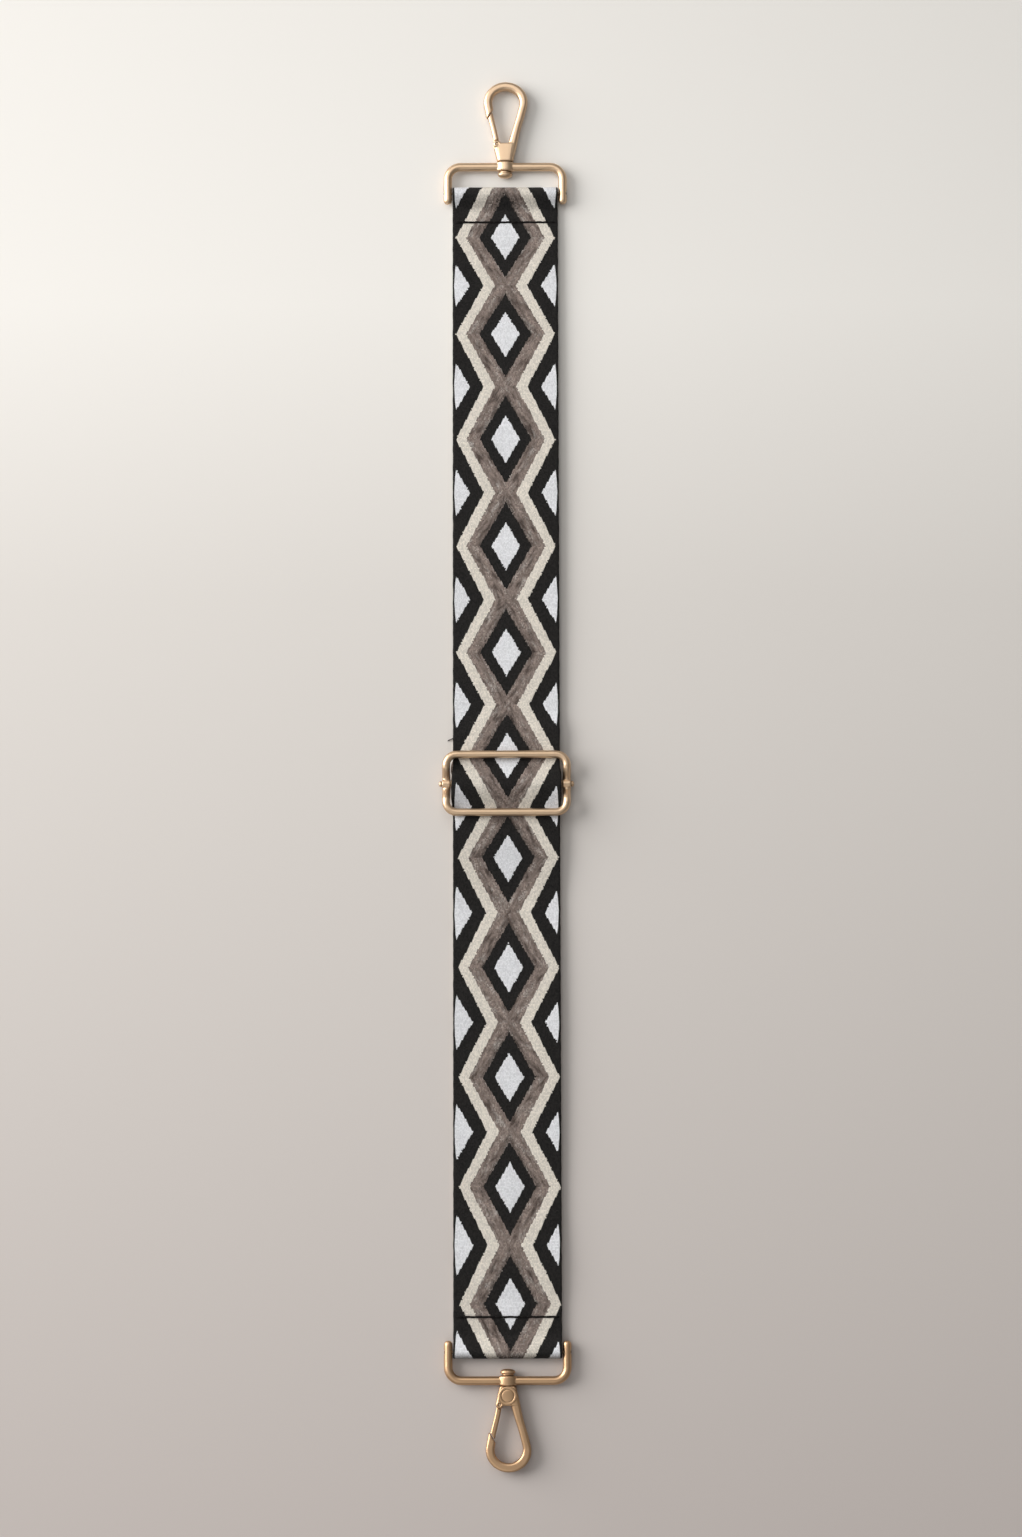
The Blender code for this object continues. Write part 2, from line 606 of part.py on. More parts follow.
def gate_pin(end, hook):
    return turned(
        f"{end}_gate_pin", ((GATE_PIN_RADIUS, FIT / 2 - BASE_HALF), (GATE_PIN_RADIUS, BASE_HALF - FIT / 2)),
        UP, HUB_AT, hook, DARK_GOLD, sides=12,
    )


def gate_spring(end, hook):
    """A torsion coil round the pin, one leg against the pocket and one in the gate's channel."""
    radius = GATE_PIN_RADIUS + SPRING_GAP + SPRING_WIRE_RADIUS
    run = (NOSE_AT - HUB_AT).normalized()
    heading = math.atan2(run.y, run.x)
    start, sweep_angle = heading - math.pi / 2 - math.tau * SPRING_TURNS, math.tau * SPRING_TURNS
    steps = 10 * SPRING_TURNS
    points = []
    for i in range(steps + 1):
        angle = start + sweep_angle * i / steps
        rise = SPRING_PITCH * SPRING_TURNS * (i / steps - 0.5)
        points.append(HUB_AT + Vector((radius * math.cos(angle), radius * math.sin(angle), rise)))
    points.append(points[-1] + SPRING_LEG * run)
    points.insert(0, points[0] - (HUB_RADIUS - radius) * run)
    sections = [round_section(SPRING_WIRE_RADIUS, 6)] * len(points)
    return sweep(f"{end}_gate_spring", points, sections, hook, SPRING_STEEL)


def gate(end, hook, pivot):
    """The gate: two ears on the pin, a channel that holds the spring's leg, and a tip cut to the seat."""
    run = (NOSE_AT - HUB_AT).normalized()
    length = (NOSE_AT - HUB_AT).length + GATE_TIP_PAST
    wide = GATE_WIDTH / 2
    clear = HUB_RADIUS + FIT * 2
    stations = (
        (0, wide, HUB_HALF), (clear, wide, HUB_HALF),
        (clear + FIT * 2, wide, GATE_THICK / 2), (length, wide, GATE_THICK / 2 * 0.9),
    )
    points = [run * place for place, _, _ in stations]
    sections = [scaled(HOOK_SECTION_SHARES, half, high) for _, half, high in stations]
    body = sweep(f"{end}_gate", points, sections, pivot, GOLD)
    boolean(body, drum(f"{end}_gate_hub", HUB_RADIUS, -HUB_HALF, HUB_HALF, UP, Vector(), pivot), "UNION")
    inside = HUB_HALF - EAR
    boolean(body, drum(f"{end}_gate_coil_room", HUB_RADIUS + OVERRUN, -inside, inside, UP, Vector(), pivot),
            "DIFFERENCE")
    side = Vector((run.y, -run.x, 0))
    reach = wide + OVERRUN
    rings = []
    for height in (-inside, inside):
        rings.append([along * run + aside * side + height * UP for along, aside in
                      ((0, -wide / 2), (0, reach), (GATE_CHANNEL_LENGTH, reach), (GATE_CHANNEL_LENGTH, -wide / 2))])
    boolean(body, loft(f"{end}_gate_channel", rings, pivot), "DIFFERENCE")
    hole = GATE_PIN_RADIUS + FIT
    boolean(body, drum(f"{end}_gate_hole", hole, -GATE_THICK, GATE_THICK, UP, Vector(), pivot, 16), "DIFFERENCE")
    boolean(body, seat_cutter(f"{end}_gate_cut", -1, hook), "DIFFERENCE")
    return body


# Assembly


def hook_end(end, way, swivel):
    """A ring with its hook. The ring turns on its bar, the hook on the barrel, the gate on its pin."""
    place = Vector((0, way * BARS_APART / 2, RING_BAR_Z))
    turn = (0, 0, 0 if way > 0 else math.pi)
    ring = empty(f"{end}_ring_axis", place, turn=turn)
    ring_bar(end, ring)
    ring_frame(end, ring)
    hook = empty(f"{end}_hook_axis", RING_REACH * ALONG, ring, (0, swivel, 0))
    hook_body(end, hook)
    swivel_rivet(end, hook)
    hook_cap(end, hook)
    gate_pin(end, hook)
    gate_spring(end, hook)
    pivot = empty(f"{end}_gate_axis", HUB_AT, hook)
    gate(end, hook, pivot)


def main():
    for obj in list(bpy.data.objects):
        bpy.data.objects.remove(obj, do_unlink=True)
    strap = empty("strap", Vector())
    adjuster = empty("adjuster", ADJUSTER_AT * ALONG)
    webbing_upper(strap)
    webbing_lower(strap)
    webbing_crossing(adjuster)
    webbing_end_loop(adjuster)
    slider_frame(adjuster)
    slider_bar(adjuster)
    hook_end("top", 1, math.pi)
    hook_end("bottom", -1, 0)


main()
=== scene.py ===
# Looks of the detachable bag strap: woven diamond webbing with light gold hooks, rings and adjuster.
# The strap lies along Y with its patterned front up, its top hook towards +Y.
# Lengths in the dictionaries are millimetres, except in the room, which is in metres.
import math

import bmesh
import bpy
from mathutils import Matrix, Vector
from mathutils.bvhtree import BVHTree
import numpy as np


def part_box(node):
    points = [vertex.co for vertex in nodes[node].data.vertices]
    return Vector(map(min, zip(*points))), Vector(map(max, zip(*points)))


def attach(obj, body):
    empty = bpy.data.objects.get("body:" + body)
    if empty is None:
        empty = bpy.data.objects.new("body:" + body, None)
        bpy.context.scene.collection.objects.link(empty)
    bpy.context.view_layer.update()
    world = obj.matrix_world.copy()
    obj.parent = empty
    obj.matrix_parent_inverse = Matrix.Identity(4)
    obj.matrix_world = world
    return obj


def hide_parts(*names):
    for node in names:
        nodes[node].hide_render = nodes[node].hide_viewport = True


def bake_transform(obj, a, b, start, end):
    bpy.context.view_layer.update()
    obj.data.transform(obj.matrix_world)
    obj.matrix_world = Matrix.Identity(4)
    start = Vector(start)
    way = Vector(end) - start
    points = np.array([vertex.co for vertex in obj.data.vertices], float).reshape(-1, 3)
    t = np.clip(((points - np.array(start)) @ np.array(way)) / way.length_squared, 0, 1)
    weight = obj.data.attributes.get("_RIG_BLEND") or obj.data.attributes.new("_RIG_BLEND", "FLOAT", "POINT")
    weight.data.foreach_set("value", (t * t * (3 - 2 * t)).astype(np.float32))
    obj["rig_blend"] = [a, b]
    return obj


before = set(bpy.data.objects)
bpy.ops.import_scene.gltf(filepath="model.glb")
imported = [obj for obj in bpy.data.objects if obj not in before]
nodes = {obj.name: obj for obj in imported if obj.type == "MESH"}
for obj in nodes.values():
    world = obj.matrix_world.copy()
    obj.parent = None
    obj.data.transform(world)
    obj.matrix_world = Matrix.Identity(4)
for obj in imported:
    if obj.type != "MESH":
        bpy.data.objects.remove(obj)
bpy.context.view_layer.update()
mm = 0.001
print("frame loaded")


# Shader helpers
def newMaterial(name):
    material = bpy.data.materials.new(name)
    material.use_nodes = True
    tree = material.node_tree
    return material, tree, tree.nodes["Principled BSDF"]


def setLook(shader, look):
    for name, value in look.items():
        shader.inputs[name].default_value = value


def plug(tree, socket, value):
    if isinstance(value, bpy.types.NodeSocket):
        tree.links.new(value, socket)
    elif value is not None:
        socket.default_value = value


def coordinates(tree, kind="Object"):
    return tree.nodes.new("ShaderNodeTexCoord").outputs[kind]


def axes(tree, vector):
    node = tree.nodes.new("ShaderNodeSeparateXYZ")
    plug(tree, node.inputs[0], vector)
    return node.outputs


def calc(tree, operation, first, second=None, third=None):
    node = tree.nodes.new("ShaderNodeMath")
    node.operation = operation
    for socket, value in zip(node.inputs, (first, second, third)):
        plug(tree, socket, value)
    return node.outputs[0]


# The base, moved up and down by a value that swings about a half
def vary(tree, value, amount, base=0.0):
    return calc(tree, "MULTIPLY_ADD", calc(tree, "SUBTRACT", value, 0.5), amount, base)


def blendColour(tree, share, first, second, mode="MIX"):
    node = tree.nodes.new("ShaderNodeMix")
    node.data_type = "RGBA"
    node.blend_type = mode
    plug(tree, node.inputs["Factor"], share)
    for socket, value in zip((node.inputs[6], node.inputs[7]), (first, second)):
        plug(tree, socket, value)
    return node.outputs[2]


def combine(tree, x, y, z=0.0):
    node = tree.nodes.new("ShaderNodeCombineXYZ")
    for socket, value in zip(node.inputs, (x, y, z)):
        plug(tree, socket, value)
    return node.outputs[0]


def noise(tree, vector, scale, detail=2.0, roughness=0.5):
    node = tree.nodes.new("ShaderNodeTexNoise")
    plug(tree, node.inputs["Vector"], vector)
    setLook(node, {"Scale": scale, "Detail": detail, "Roughness": roughness})
    return node.outputs["Fac"]


def cellValue(tree, vector):
    node = tree.nodes.new("ShaderNodeTexWhiteNoise")
    node.noise_dimensions = "2D"
    plug(tree, node.inputs["Vector"], vector)
    return node.outputs["Value"]


def attribute(tree, name):
    node = tree.nodes.new("ShaderNodeAttribute")
    node.attribute_name = name
    return node.outputs["Fac"]


def bump(tree, shader, height, strength, depth):
    node = tree.nodes.new("ShaderNodeBump")
    setLook(node, {"Strength": strength, "Distance": depth * mm})
    plug(tree, node.inputs["Height"], height)
    tree.links.new(node.outputs["Normal"], shader.inputs["Normal"])


# The woven pattern. Each zone's edge starts at its half width on the row through the white diamonds
# and draws in along the strap, to the row halfway to the next one.
pattern = {
    "repeat": 50.8,
    "whiteEdge": (6.75, 15.1),
    "blackEdge": (12.35, 15.0),
    "taupeEdge": (18.7, 13.7),
    "creamEdge": (23.5, 13.1),
    "sideEdge": (31.9, 14.95),
    "sideTips": 23.3,
    "sideBulge": 1.0,
    "yarnAcross": 0.5,
    "yarnAlong": 0.62,
    "raggedness": 0.34,
    "sidewaysWander": 0.5,
    "wanderScale": 0.14,
}
# Slubs in the taupe bands: how fine they are over the band and along it, level, gain and seed
slubs = {
    "grey": (0.42, 0.17, 0.53, 5.5, 1.7),
    "brown": (0.36, 0.13, 0.51, 6.0, 7.9),
    "thin": (1.0, 0.25, 0.5, 5.0, 3.3),
    "yarnMix": 0.9,
    "bandsApart": 40.0,
}
# Light and dark: spread says how much single yarns differ, less where the colour is light; the entries for the
# yarns' crowns and for where the webbing turns down are painted shade
yarnTone = {
    "middle": 0.8,
    "spread": (-0.9, 0.95),
    "paintedGapShade": 0.32,
    "fibres": 0.3,
    "cloud": 0.2,
    "turned": -0.65,
    "thinSlubs": -0.42,
    "inner": -0.34,
    "innerReach": 2.8,
}
yarnRelief = {
    "columnBow": 2.2,
    "rowBow": 3.0,
    "fibreScales": (9.0, 2.2),
    "fibres": 0.35,
    "cloudScale": 0.06,
    "strength": 0.8,
    "depth": 0.16,
}
yarnColours = {
    "black": (0.0125, 0.011, 0.01, 1),
    "white": (0.8, 0.8, 0.815, 1),
    "cream": (0.76, 0.7, 0.61, 1),
    "taupe": (0.275, 0.216, 0.186, 1),
    "brown": (0.085, 0.062, 0.052, 1),
    "grey": (0.4, 0.36, 0.325, 1),
}
webbingLook = {"Roughness": 0.78, "Sheen Weight": 0.05, "Sheen Roughness": 0.5, "Specular IOR Level": 0.16}


# Each yarn float takes the colour of the zone that its own middle lies in
def makeWebbing(name, white, black, cream, taupe, brown, grey):
    material, tree, shader = newMaterial(name)
    onPlace = calc(tree, "MULTIPLY", axes(tree, coordinates(tree))["Y"], 1 / mm)
    along = calc(tree, "MULTIPLY_ADD", onPlace, attribute(tree, "facing"), attribute(tree, "shift"))
    across = attribute(tree, "across")
    slip = attribute(tree, "slip")

    def cells(value, size, stagger=0.0):
        places = calc(tree, "ADD", calc(tree, "DIVIDE", value, size), stagger)
        return calc(tree, "FLOOR", places), calc(tree, "FRACT", places)

    row, rowShare = cells(along, pattern["yarnAlong"])
    stagger = calc(tree, "MULTIPLY", calc(tree, "FLOORED_MODULO", row, 2.0), 0.5)
    column, columnShare = cells(across, pattern["yarnAcross"], stagger)
    yarn = cellValue(tree, combine(tree, column, row))
    rowMiddle = calc(tree, "MULTIPLY", calc(tree, "ADD", row, 0.5), pattern["yarnAlong"])
    columnMiddle = calc(tree, "SUBTRACT", calc(tree, "ADD", column, 0.5), stagger)
    columnMiddle = calc(tree, "MULTIPLY", columnMiddle, pattern["yarnAcross"])

    # Where the yarn lies in the repeat: from its row of white diamonds, and from the strap's middle
    repeats = calc(tree, "DIVIDE", rowMiddle, pattern["repeat"])
    phase = calc(tree, "FRACT", calc(tree, "ADD", repeats, 0.5))
    fromRow = calc(tree, "MULTIPLY", calc(tree, "ABSOLUTE", calc(tree, "SUBTRACT", phase, 0.5)), 2.0)
    loom = noise(tree, combine(tree, across, along), pattern["wanderScale"], 3.0)
    wander = vary(tree, loom, pattern["sidewaysWander"], slip)
    fromMiddle = calc(tree, "ABSOLUTE", calc(tree, "SUBTRACT", columnMiddle, wander))
    ragged = vary(tree, yarn, pattern["raggedness"])
    out = calc(tree, "ADD", fromMiddle, ragged)

    def limit(edge):
        start, fall = pattern[edge]
        return calc(tree, "MULTIPLY_ADD", fromRow, -fall, start)

    def inside(edge):
        return calc(tree, "LESS_THAN", out, limit(edge))

    # The taupe bands have slubs of two more colours, which run with the band
    side = calc(tree, "SIGN", calc(tree, "SUBTRACT", columnMiddle, slip))
    way = calc(tree, "SIGN", calc(tree, "SUBTRACT", phase, 0.5))
    lane = calc(tree, "MULTIPLY_ADD", fromRow, pattern["taupeEdge"][1], fromMiddle)
    lane = calc(tree, "MULTIPLY_ADD", calc(tree, "MULTIPLY", side, way), slubs["bandsApart"], lane)

    def slubsOf(kind):
        overBand, alongBand, level, gain, seed = slubs[kind]
        laneAt = calc(tree, "MULTIPLY", lane, overBand)
        alongAt = calc(tree, "MULTIPLY", along, alongBand)
        spots = noise(tree, combine(tree, laneAt, alongAt, seed), 1.0, 3.0, 0.6)
        found = calc(tree, "MULTIPLY", calc(tree, "SUBTRACT", spots, level), gain)
        found = vary(tree, yarn, slubs["yarnMix"], found)
        return calc(tree, "MINIMUM", calc(tree, "MAXIMUM", found, 0.0), 1.0)

    band = blendColour(tree, slubsOf("grey"), taupe, grey)
    band = blendColour(tree, slubsOf("brown"), band, brown)

    # The zones from the outside in, then the pale half diamonds along both sides
    zones = (("creamEdge", cream), ("taupeEdge", band), ("blackEdge", black), ("whiteEdge", white))
    colour = black
    for edge, filling in zones:
        colour = blendColour(tree, inside(edge), colour, filling)
    pastEdge = calc(tree, "SUBTRACT", fromMiddle, limit("sideEdge"))
    tips = calc(tree, "MINIMUM", calc(tree, "DIVIDE", pastEdge, pattern["sideEdge"][1] / 2), 1.0)
    tips = calc(tree, "POWER", calc(tree, "MAXIMUM", tips, 0.0), 0.5)
    tips = calc(tree, "MULTIPLY_ADD", tips, pattern["sideBulge"], pattern["sideTips"])
    beyond = calc(tree, "GREATER_THAN", calc(tree, "ADD", pastEdge, ragged), 0.0)
    beyond = calc(tree, "MULTIPLY", beyond, calc(tree, "LESS_THAN", calc(tree, "ABSOLUTE", across), tips))
    colour = blendColour(tree, beyond, colour, white)

    # Yarns differ a little, and the gaps between them get painted shade, lighter on each yarn's crown
    def bow(placeShare, power):
        edge = calc(tree, "ABSOLUTE", calc(tree, "MULTIPLY_ADD", placeShare, 2.0, -1.0))
        return calc(tree, "SUBTRACT", 1.0, calc(tree, "POWER", edge, power))

    columnBow = bow(columnShare, yarnRelief["columnBow"])
    height = calc(tree, "MULTIPLY", columnBow, bow(rowShare, yarnRelief["rowBow"]))
    scaleX, scaleY = yarnRelief["fibreScales"]
    fibreX = calc(tree, "MULTIPLY", across, scaleX)
    fibreY = calc(tree, "MULTIPLY", along, scaleY)
    fibres = noise(tree, combine(tree, fibreX, fibreY), 1.0, 2.0)
    cloud = noise(tree, combine(tree, across, along, 3.0), yarnRelief["cloudScale"], 3.0)
    lightness = tree.nodes.new("ShaderNodeRGBToBW")
    tree.links.new(colour, lightness.inputs[0])
    spread = calc(tree, "MULTIPLY_ADD", lightness.outputs[0], *yarnTone["spread"])
    tone = vary(tree, yarn, spread, yarnTone["middle"])
    # Painted shade in the gaps between yarns, lighter on their crowns
    tone = calc(tree, "MULTIPLY_ADD", height, yarnTone["paintedGapShade"], tone)
    tone = vary(tree, fibres, yarnTone["fibres"], tone)
    tone = vary(tree, cloud, yarnTone["cloud"], tone)
    # Painted shade where the webbing turns down towards -Y, as at the bottom fold's end and the adjuster window's
    # lower slopes
    tone = calc(tree, "MULTIPLY_ADD", attribute(tree, "turned"), yarnTone["turned"], tone)
    notBlack = calc(tree, "SUBTRACT", 1.0, inside("blackEdge"))
    inBand = calc(tree, "MULTIPLY", inside("taupeEdge"), notBlack)
    thin = calc(tree, "MULTIPLY", inBand, slubsOf("thin"))
    tone = calc(tree, "MULTIPLY_ADD", thin, yarnTone["thinSlubs"], tone)

    # Above each white diamond the bands darken towards the black
    fromBlack = calc(tree, "SUBTRACT", out, limit("blackEdge"))
    fromBlack = calc(tree, "DIVIDE", fromBlack, yarnTone["innerReach"])
    inner = calc(tree, "MAXIMUM", calc(tree, "SUBTRACT", 1.0, fromBlack), 0.0)
    inner = calc(tree, "MULTIPLY", inner, inBand)
    inner = calc(tree, "MULTIPLY", inner, calc(tree, "GREATER_THAN", phase, 0.5))
    tone = calc(tree, "MULTIPLY_ADD", inner, yarnTone["inner"], tone)

    shaded = blendColour(tree, 1.0, colour, combine(tree, tone, tone, tone), "MULTIPLY")
    tree.links.new(shaded, shader.inputs["Base Color"])
    relief = calc(tree, "MULTIPLY_ADD", fibres, yarnRelief["fibres"], height)
    bump(tree, shader, relief, yarnRelief["strength"], yarnRelief["depth"])
    setLook(shader, webbingLook)
    return material


selvedgeLook = {
    "gap": (0.009, 0.008, 0.008, 1),
    "pick": (0.022, 0.02, 0.019, 1),
    "grainScale": 3.0,
    "grain": 0.4,
    "strength": 0.8,
    "depth": 0.15,
    "shader": {"Roughness": 0.85, "Specular IOR Level": 0.2},
}


def makeSelvedge():
    material, tree, shader = newMaterial("selvedge")
    place = axes(tree, coordinates(tree))
    along = calc(tree, "MULTIPLY", place["Y"], 1000.0)
    high = calc(tree, "MULTIPLY", place["Z"], 1000.0)
    turns = calc(tree, "MULTIPLY", along, math.pi / pattern["yarnAlong"])
    picks = calc(tree, "ABSOLUTE", calc(tree, "SINE", turns))
    grain = noise(tree, combine(tree, along, high), selvedgeLook["grainScale"], 2.0)
    colour = blendColour(tree, picks, selvedgeLook["gap"], selvedgeLook["pick"])
    tree.links.new(colour, shader.inputs["Base Color"])
    height = calc(tree, "MULTIPLY_ADD", grain, selvedgeLook["grain"], picks)
    bump(tree, shader, height, selvedgeLook["strength"], selvedgeLook["depth"])
    setLook(shader, selvedgeLook["shader"])
    return material


threadLook = {
    "twistScale": 900,
    "dark": (0.003, 0.0025, 0.002, 1),
    "light": (0.009, 0.007, 0.006, 1),
    "strength": 0.5,
    "depth": 0.05,
    "shader": {"Roughness": 0.7, "Specular IOR Level": 0.15},
}


def makeThread():
    material, tree, shader = newMaterial("sewingThread")
    wave = tree.nodes.new("ShaderNodeTexWave")
    wave.bands_direction = "DIAGONAL"
    wave.inputs["Scale"].default_value = threadLook["twistScale"]
    tree.links.new(coordinates(tree), wave.inputs["Vector"])
    twist = wave.outputs["Fac"]
    colour = blendColour(tree, twist, threadLook["dark"], threadLook["light"])
    tree.links.new(colour, shader.inputs["Base Color"])
    bump(tree, shader, twist, threadLook["strength"], threadLook["depth"])
    setLook(shader, threadLook["shader"])
    return material


# Light gold plate: satin and slightly uneven, with painted shade in creases, on the sideways-facing flanks and
# where two pieces meet
goldLook = {
    "plate": (0.81, 0.59, 0.395, 1),
    "worn": (0.7, 0.49, 0.31, 1),
    "paintedShade": (0.16, 0.085, 0.04, 1),
    "flatBelow": 0.03,
    "paintedShadeGain": 9.0,
    "flankShade": 0.3,
    "meetingReach": 0.5,
    "meetingGain": 1.5,
    "darkest": 0.85,
    "roughness": (0.34, 0.44),
    "patchScale": 160.0,
    "fineScale": 1500.0,
    "fineRoughness": 0.06,
    "fineRelief": 0.35,
    "strength": 0.12,
    "depth": 0.12,
}


def makeGold(name, dull, tint):
    material, tree, shader = newMaterial(name)
    place = coordinates(tree)
    patches = noise(tree, place, goldLook["patchScale"], 3.0)
    fine = noise(tree, place, goldLook["fineScale"], 3.0, 0.6)
    colour = blendColour(tree, patches, goldLook["worn"], goldLook["plate"])
    colour = blendColour(tree, 1.0, colour, tint + (1,), "MULTIPLY")
    # Painted shade from the attribute: creases, sideways flanks and meeting places
    colour = blendColour(tree, attribute(tree, "paintedShade"), colour, goldLook["paintedShade"])
    tree.links.new(colour, shader.inputs["Base Color"])
    low, high = goldLook["roughness"]
    rough = calc(tree, "MULTIPLY_ADD", patches, high - low, low + dull)
    rough = calc(tree, "MULTIPLY_ADD", fine, goldLook["fineRoughness"], rough)
    tree.links.new(rough, shader.inputs["Roughness"])
    relief = calc(tree, "MULTIPLY_ADD", fine, goldLook["fineRelief"], patches)
    bump(tree, shader, relief, goldLook["strength"], goldLook["depth"])
    shader.inputs["Metallic"].default_value = 1.0
    return material


steelLook = {
    "dark": (0.4, 0.39, 0.37, 1),
    "light": (0.56, 0.54, 0.5, 1),
    "grainScale": 2500.0,
    "roughness": (0.15, 0.25),
}


def makeSteel():
    material, tree, shader = newMaterial("springSteel")
    grain = noise(tree, coordinates(tree), steelLook["grainScale"], 2.0)
    colour = blendColour(tree, grain, steelLook["dark"], steelLook["light"])
    tree.links.new(colour, shader.inputs["Base Color"])
    rough = calc(tree, "MULTIPLY_ADD", grain, *steelLook["roughness"])
    tree.links.new(rough, shader.inputs["Roughness"])
    shader.inputs["Metallic"].default_value = 1.0
    return material


# The reverse of a jacquard shows its yarns the other way about
front = makeWebbing("webbingFront", **yarnColours)
reverse = makeWebbing(
    "webbingReverse", white=yarnColours["taupe"], black=yarnColours["cream"], cream=yarnColours["black"],
    taupe=yarnColours["cream"], brown=yarnColours["grey"], grey=yarnColours["brown"],
)
selvedge = makeSelvedge()
thread = makeThread()
gold = makeGold("lightGold", 0.0, (1.04, 1.05, 1.06))
# A darker, warmer copy of the gold: painted shade for the bottom end
bottomShadeGold = makeGold("bottomShadeGold", 0.0, (0.885, 0.8, 0.71))
dullGold = makeGold("shadedGold", 0.08, (1.0, 1.0, 1.0))
# The ring bars' gold darkened to 0.3: painted shade, a dark bar standing in for the shade inside the webbing's
# folds
barShadeGold = makeGold("paintedShadeBar", 0.12, (0.3, 0.3, 0.3))
steel = makeSteel()
print("materials made")


# Mesh helpers
def meshFrom(bm, name):
    mesh = bpy.data.meshes.new(name)
    bm.to_mesh(mesh)
    bm.free()
    return mesh


def addObject(name, data):
    added = bpy.data.objects.new(name, data)
    bpy.context.collection.objects.link(added)
    return added


# The mesh that an object's modifiers or curve give, and the object itself goes
def settledMesh(draft):
    mesh = bpy.data.meshes.new_from_object(draft.evaluated_get(bpy.context.evaluated_depsgraph_get()))
    bpy.data.objects.remove(draft)
    return mesh


def shareOf(y, start, end):
    return min(max((y - start) / (end - start), 0.0), 1.0)


# The webbing: each stretch has its own course in the YZ plane, and a section carried along it
webbing = {
    "width": 50.0,
    "thick": 1.4,
    "fit": 0.3,
    "ringBarAt": 273.1,
    "ringBarZ": 3.0,
    "foldRadius": 2.3,
    "adjusterAt": -10.1,
    "adjusterEnd": 13.95,
    "adjusterBarZ": 3.1,
    "loopRadius": 2.4,
    "loopTail": 22.0,
    "tail": 24.0,
    "foldRamp": 9.0,
    "layerRamp": 12.0,
    "tailRamp": 55.0,
    "exitRamp": 45.0,
    "lowerLift": 2.3,
    "upperLift": 0.7,
    "liftFullness": 0.6,
    "lead": 2.0,
    "step": 0.9,
    "topSeam": 259.1,
    "bottomSeam": -257.1,
}
# Its section: places across, and the rim in which it thins towards the selvedge
sectionShape = {
    "inner": 22.5,
    "spacing": 1.5,
    "count": 31,
    "rim": 0.75,
    "rimSteps": (0.0, 0.12, 0.35, 0.75, 1.3),
    "rimThin": 0.4,
}
# How it is a little uneven: each wave's height and its turns per millimetre
unevenness = {
    "edgeReach": 3.0,
    "slowWave": (0.09, 0.29),
    "slowWaveLag": 2.1,
    "quickWave": (0.05, 1.07),
    "ripple": (0.03, 0.5, 0.11),
    "seamPinch": 0.3,
    "seamReach": 0.6,
}
# The selvedge swells where the webbing bends: round a ring's bar, and over the adjuster's middle bar
foldFlare = {"most": 0.2, "past": 0.5, "run": 5.5}
crossingFlare = {"most": 0.9, "below": 2.5, "run": 11.0}
# Where the adjuster's loop shows beside the front webbing, from the middle bar
peep = {"from": 3.2, "to": 11.2, "out": 1.05, "patternWide": 0.93}
# Where the rows of white diamonds lie along the strap, numbered from the adjuster
diamondRows = (
    (-303.0, -6), (-251.2, -5), (-197.5, -4), (-147.0, -3), (-96.2, -2), (-44.8, -1), (2.8, 0),
    (51.95, 1), (102.7, 2), (153.8, 3), (204.8, 4), (251.6, 5), (302.0, 6),
)
# How far off the middle it is woven at places along the strap
patternSlips = ((-250.0, 1.35), (-60.0, 0.75), (-12.0, 0.6), (40.0, 0.15), (80.0, 0.0))
half = webbing["width"] / 2
foldTopZ = webbing["ringBarZ"] + webbing["foldRadius"]
adjusterAt, adjusterEnd = webbing["adjusterAt"], webbing["adjusterEnd"]
gap = webbing["fit"] / 2
# Where the webbing below and above the adjuster gives way as the adjuster slides
lowerStretch = (-256.0, -44.0)
upperStretch = (28.0, 262.0)
frontSide = (front, reverse, selvedge)


def layerZ(number):
    return webbing["thick"] / 2 + number * (webbing["thick"] + webbing["fit"])


# A soft step between two (y, z) places, without its first point
def ramp(start, end, steps=12):
    found = []
    for i in range(1, steps + 1):
        share = i / steps
        rise = (1 - math.cos(math.pi * share)) / 2
        found.append((start[0] + (end[0] - start[0]) * share, start[1] + (end[1] - start[1]) * rise))
    return found


def turnRound(barY, barZ, radius, start, end, steps=16):
    angles = [math.radians(start + (end - start) * i / steps) for i in range(steps + 1)]
    return [(barY + radius * math.cos(a), barZ + radius * math.sin(a)) for a in angles]


def lengthOf(course):
    return sum(math.dist(a, b) for a, b in zip(course, course[1:]))


# The course's points again at even steps, each with its distance from the start
def evenly(course):
    lengths = [0.0]
    for a, b in zip(course, course[1:]):
        lengths.append(lengths[-1] + math.dist(a, b))
    count = round(lengths[-1] / webbing["step"])
    found, j = [], 0
    for i in range(count + 1):
        target = lengths[-1] * i / count
        while j < len(lengths) - 2 and lengths[j + 1] < target:
            j += 1
        share = shareOf(target, lengths[j], lengths[j + 1])
        a, b = course[j], course[j + 1]
        found.append((a[0] + (b[0] - a[0]) * share, a[1] + (b[1] - a[1]) * share, target))
    return found


# How far the pattern has run at a place on the front
def diamondsTo(y):
    for (y0, n0), (y1, n1) in zip(diamondRows, diamondRows[1:]):
        if y <= y1:
            break
    return (n0 + (n1 - n0) * (y - y0) / (y1 - y0)) * pattern["repeat"]


def slipAt(y):
    if y <= patternSlips[0][0]:
        return patternSlips[0][1]
    for (y0, slip0), (y1, slip1) in zip(patternSlips, patternSlips[1:]):
        if y <= y1:
            return slip0 + (slip1 - slip0) * (y - y0) / (y1 - y0)
    return patternSlips[-1][1]


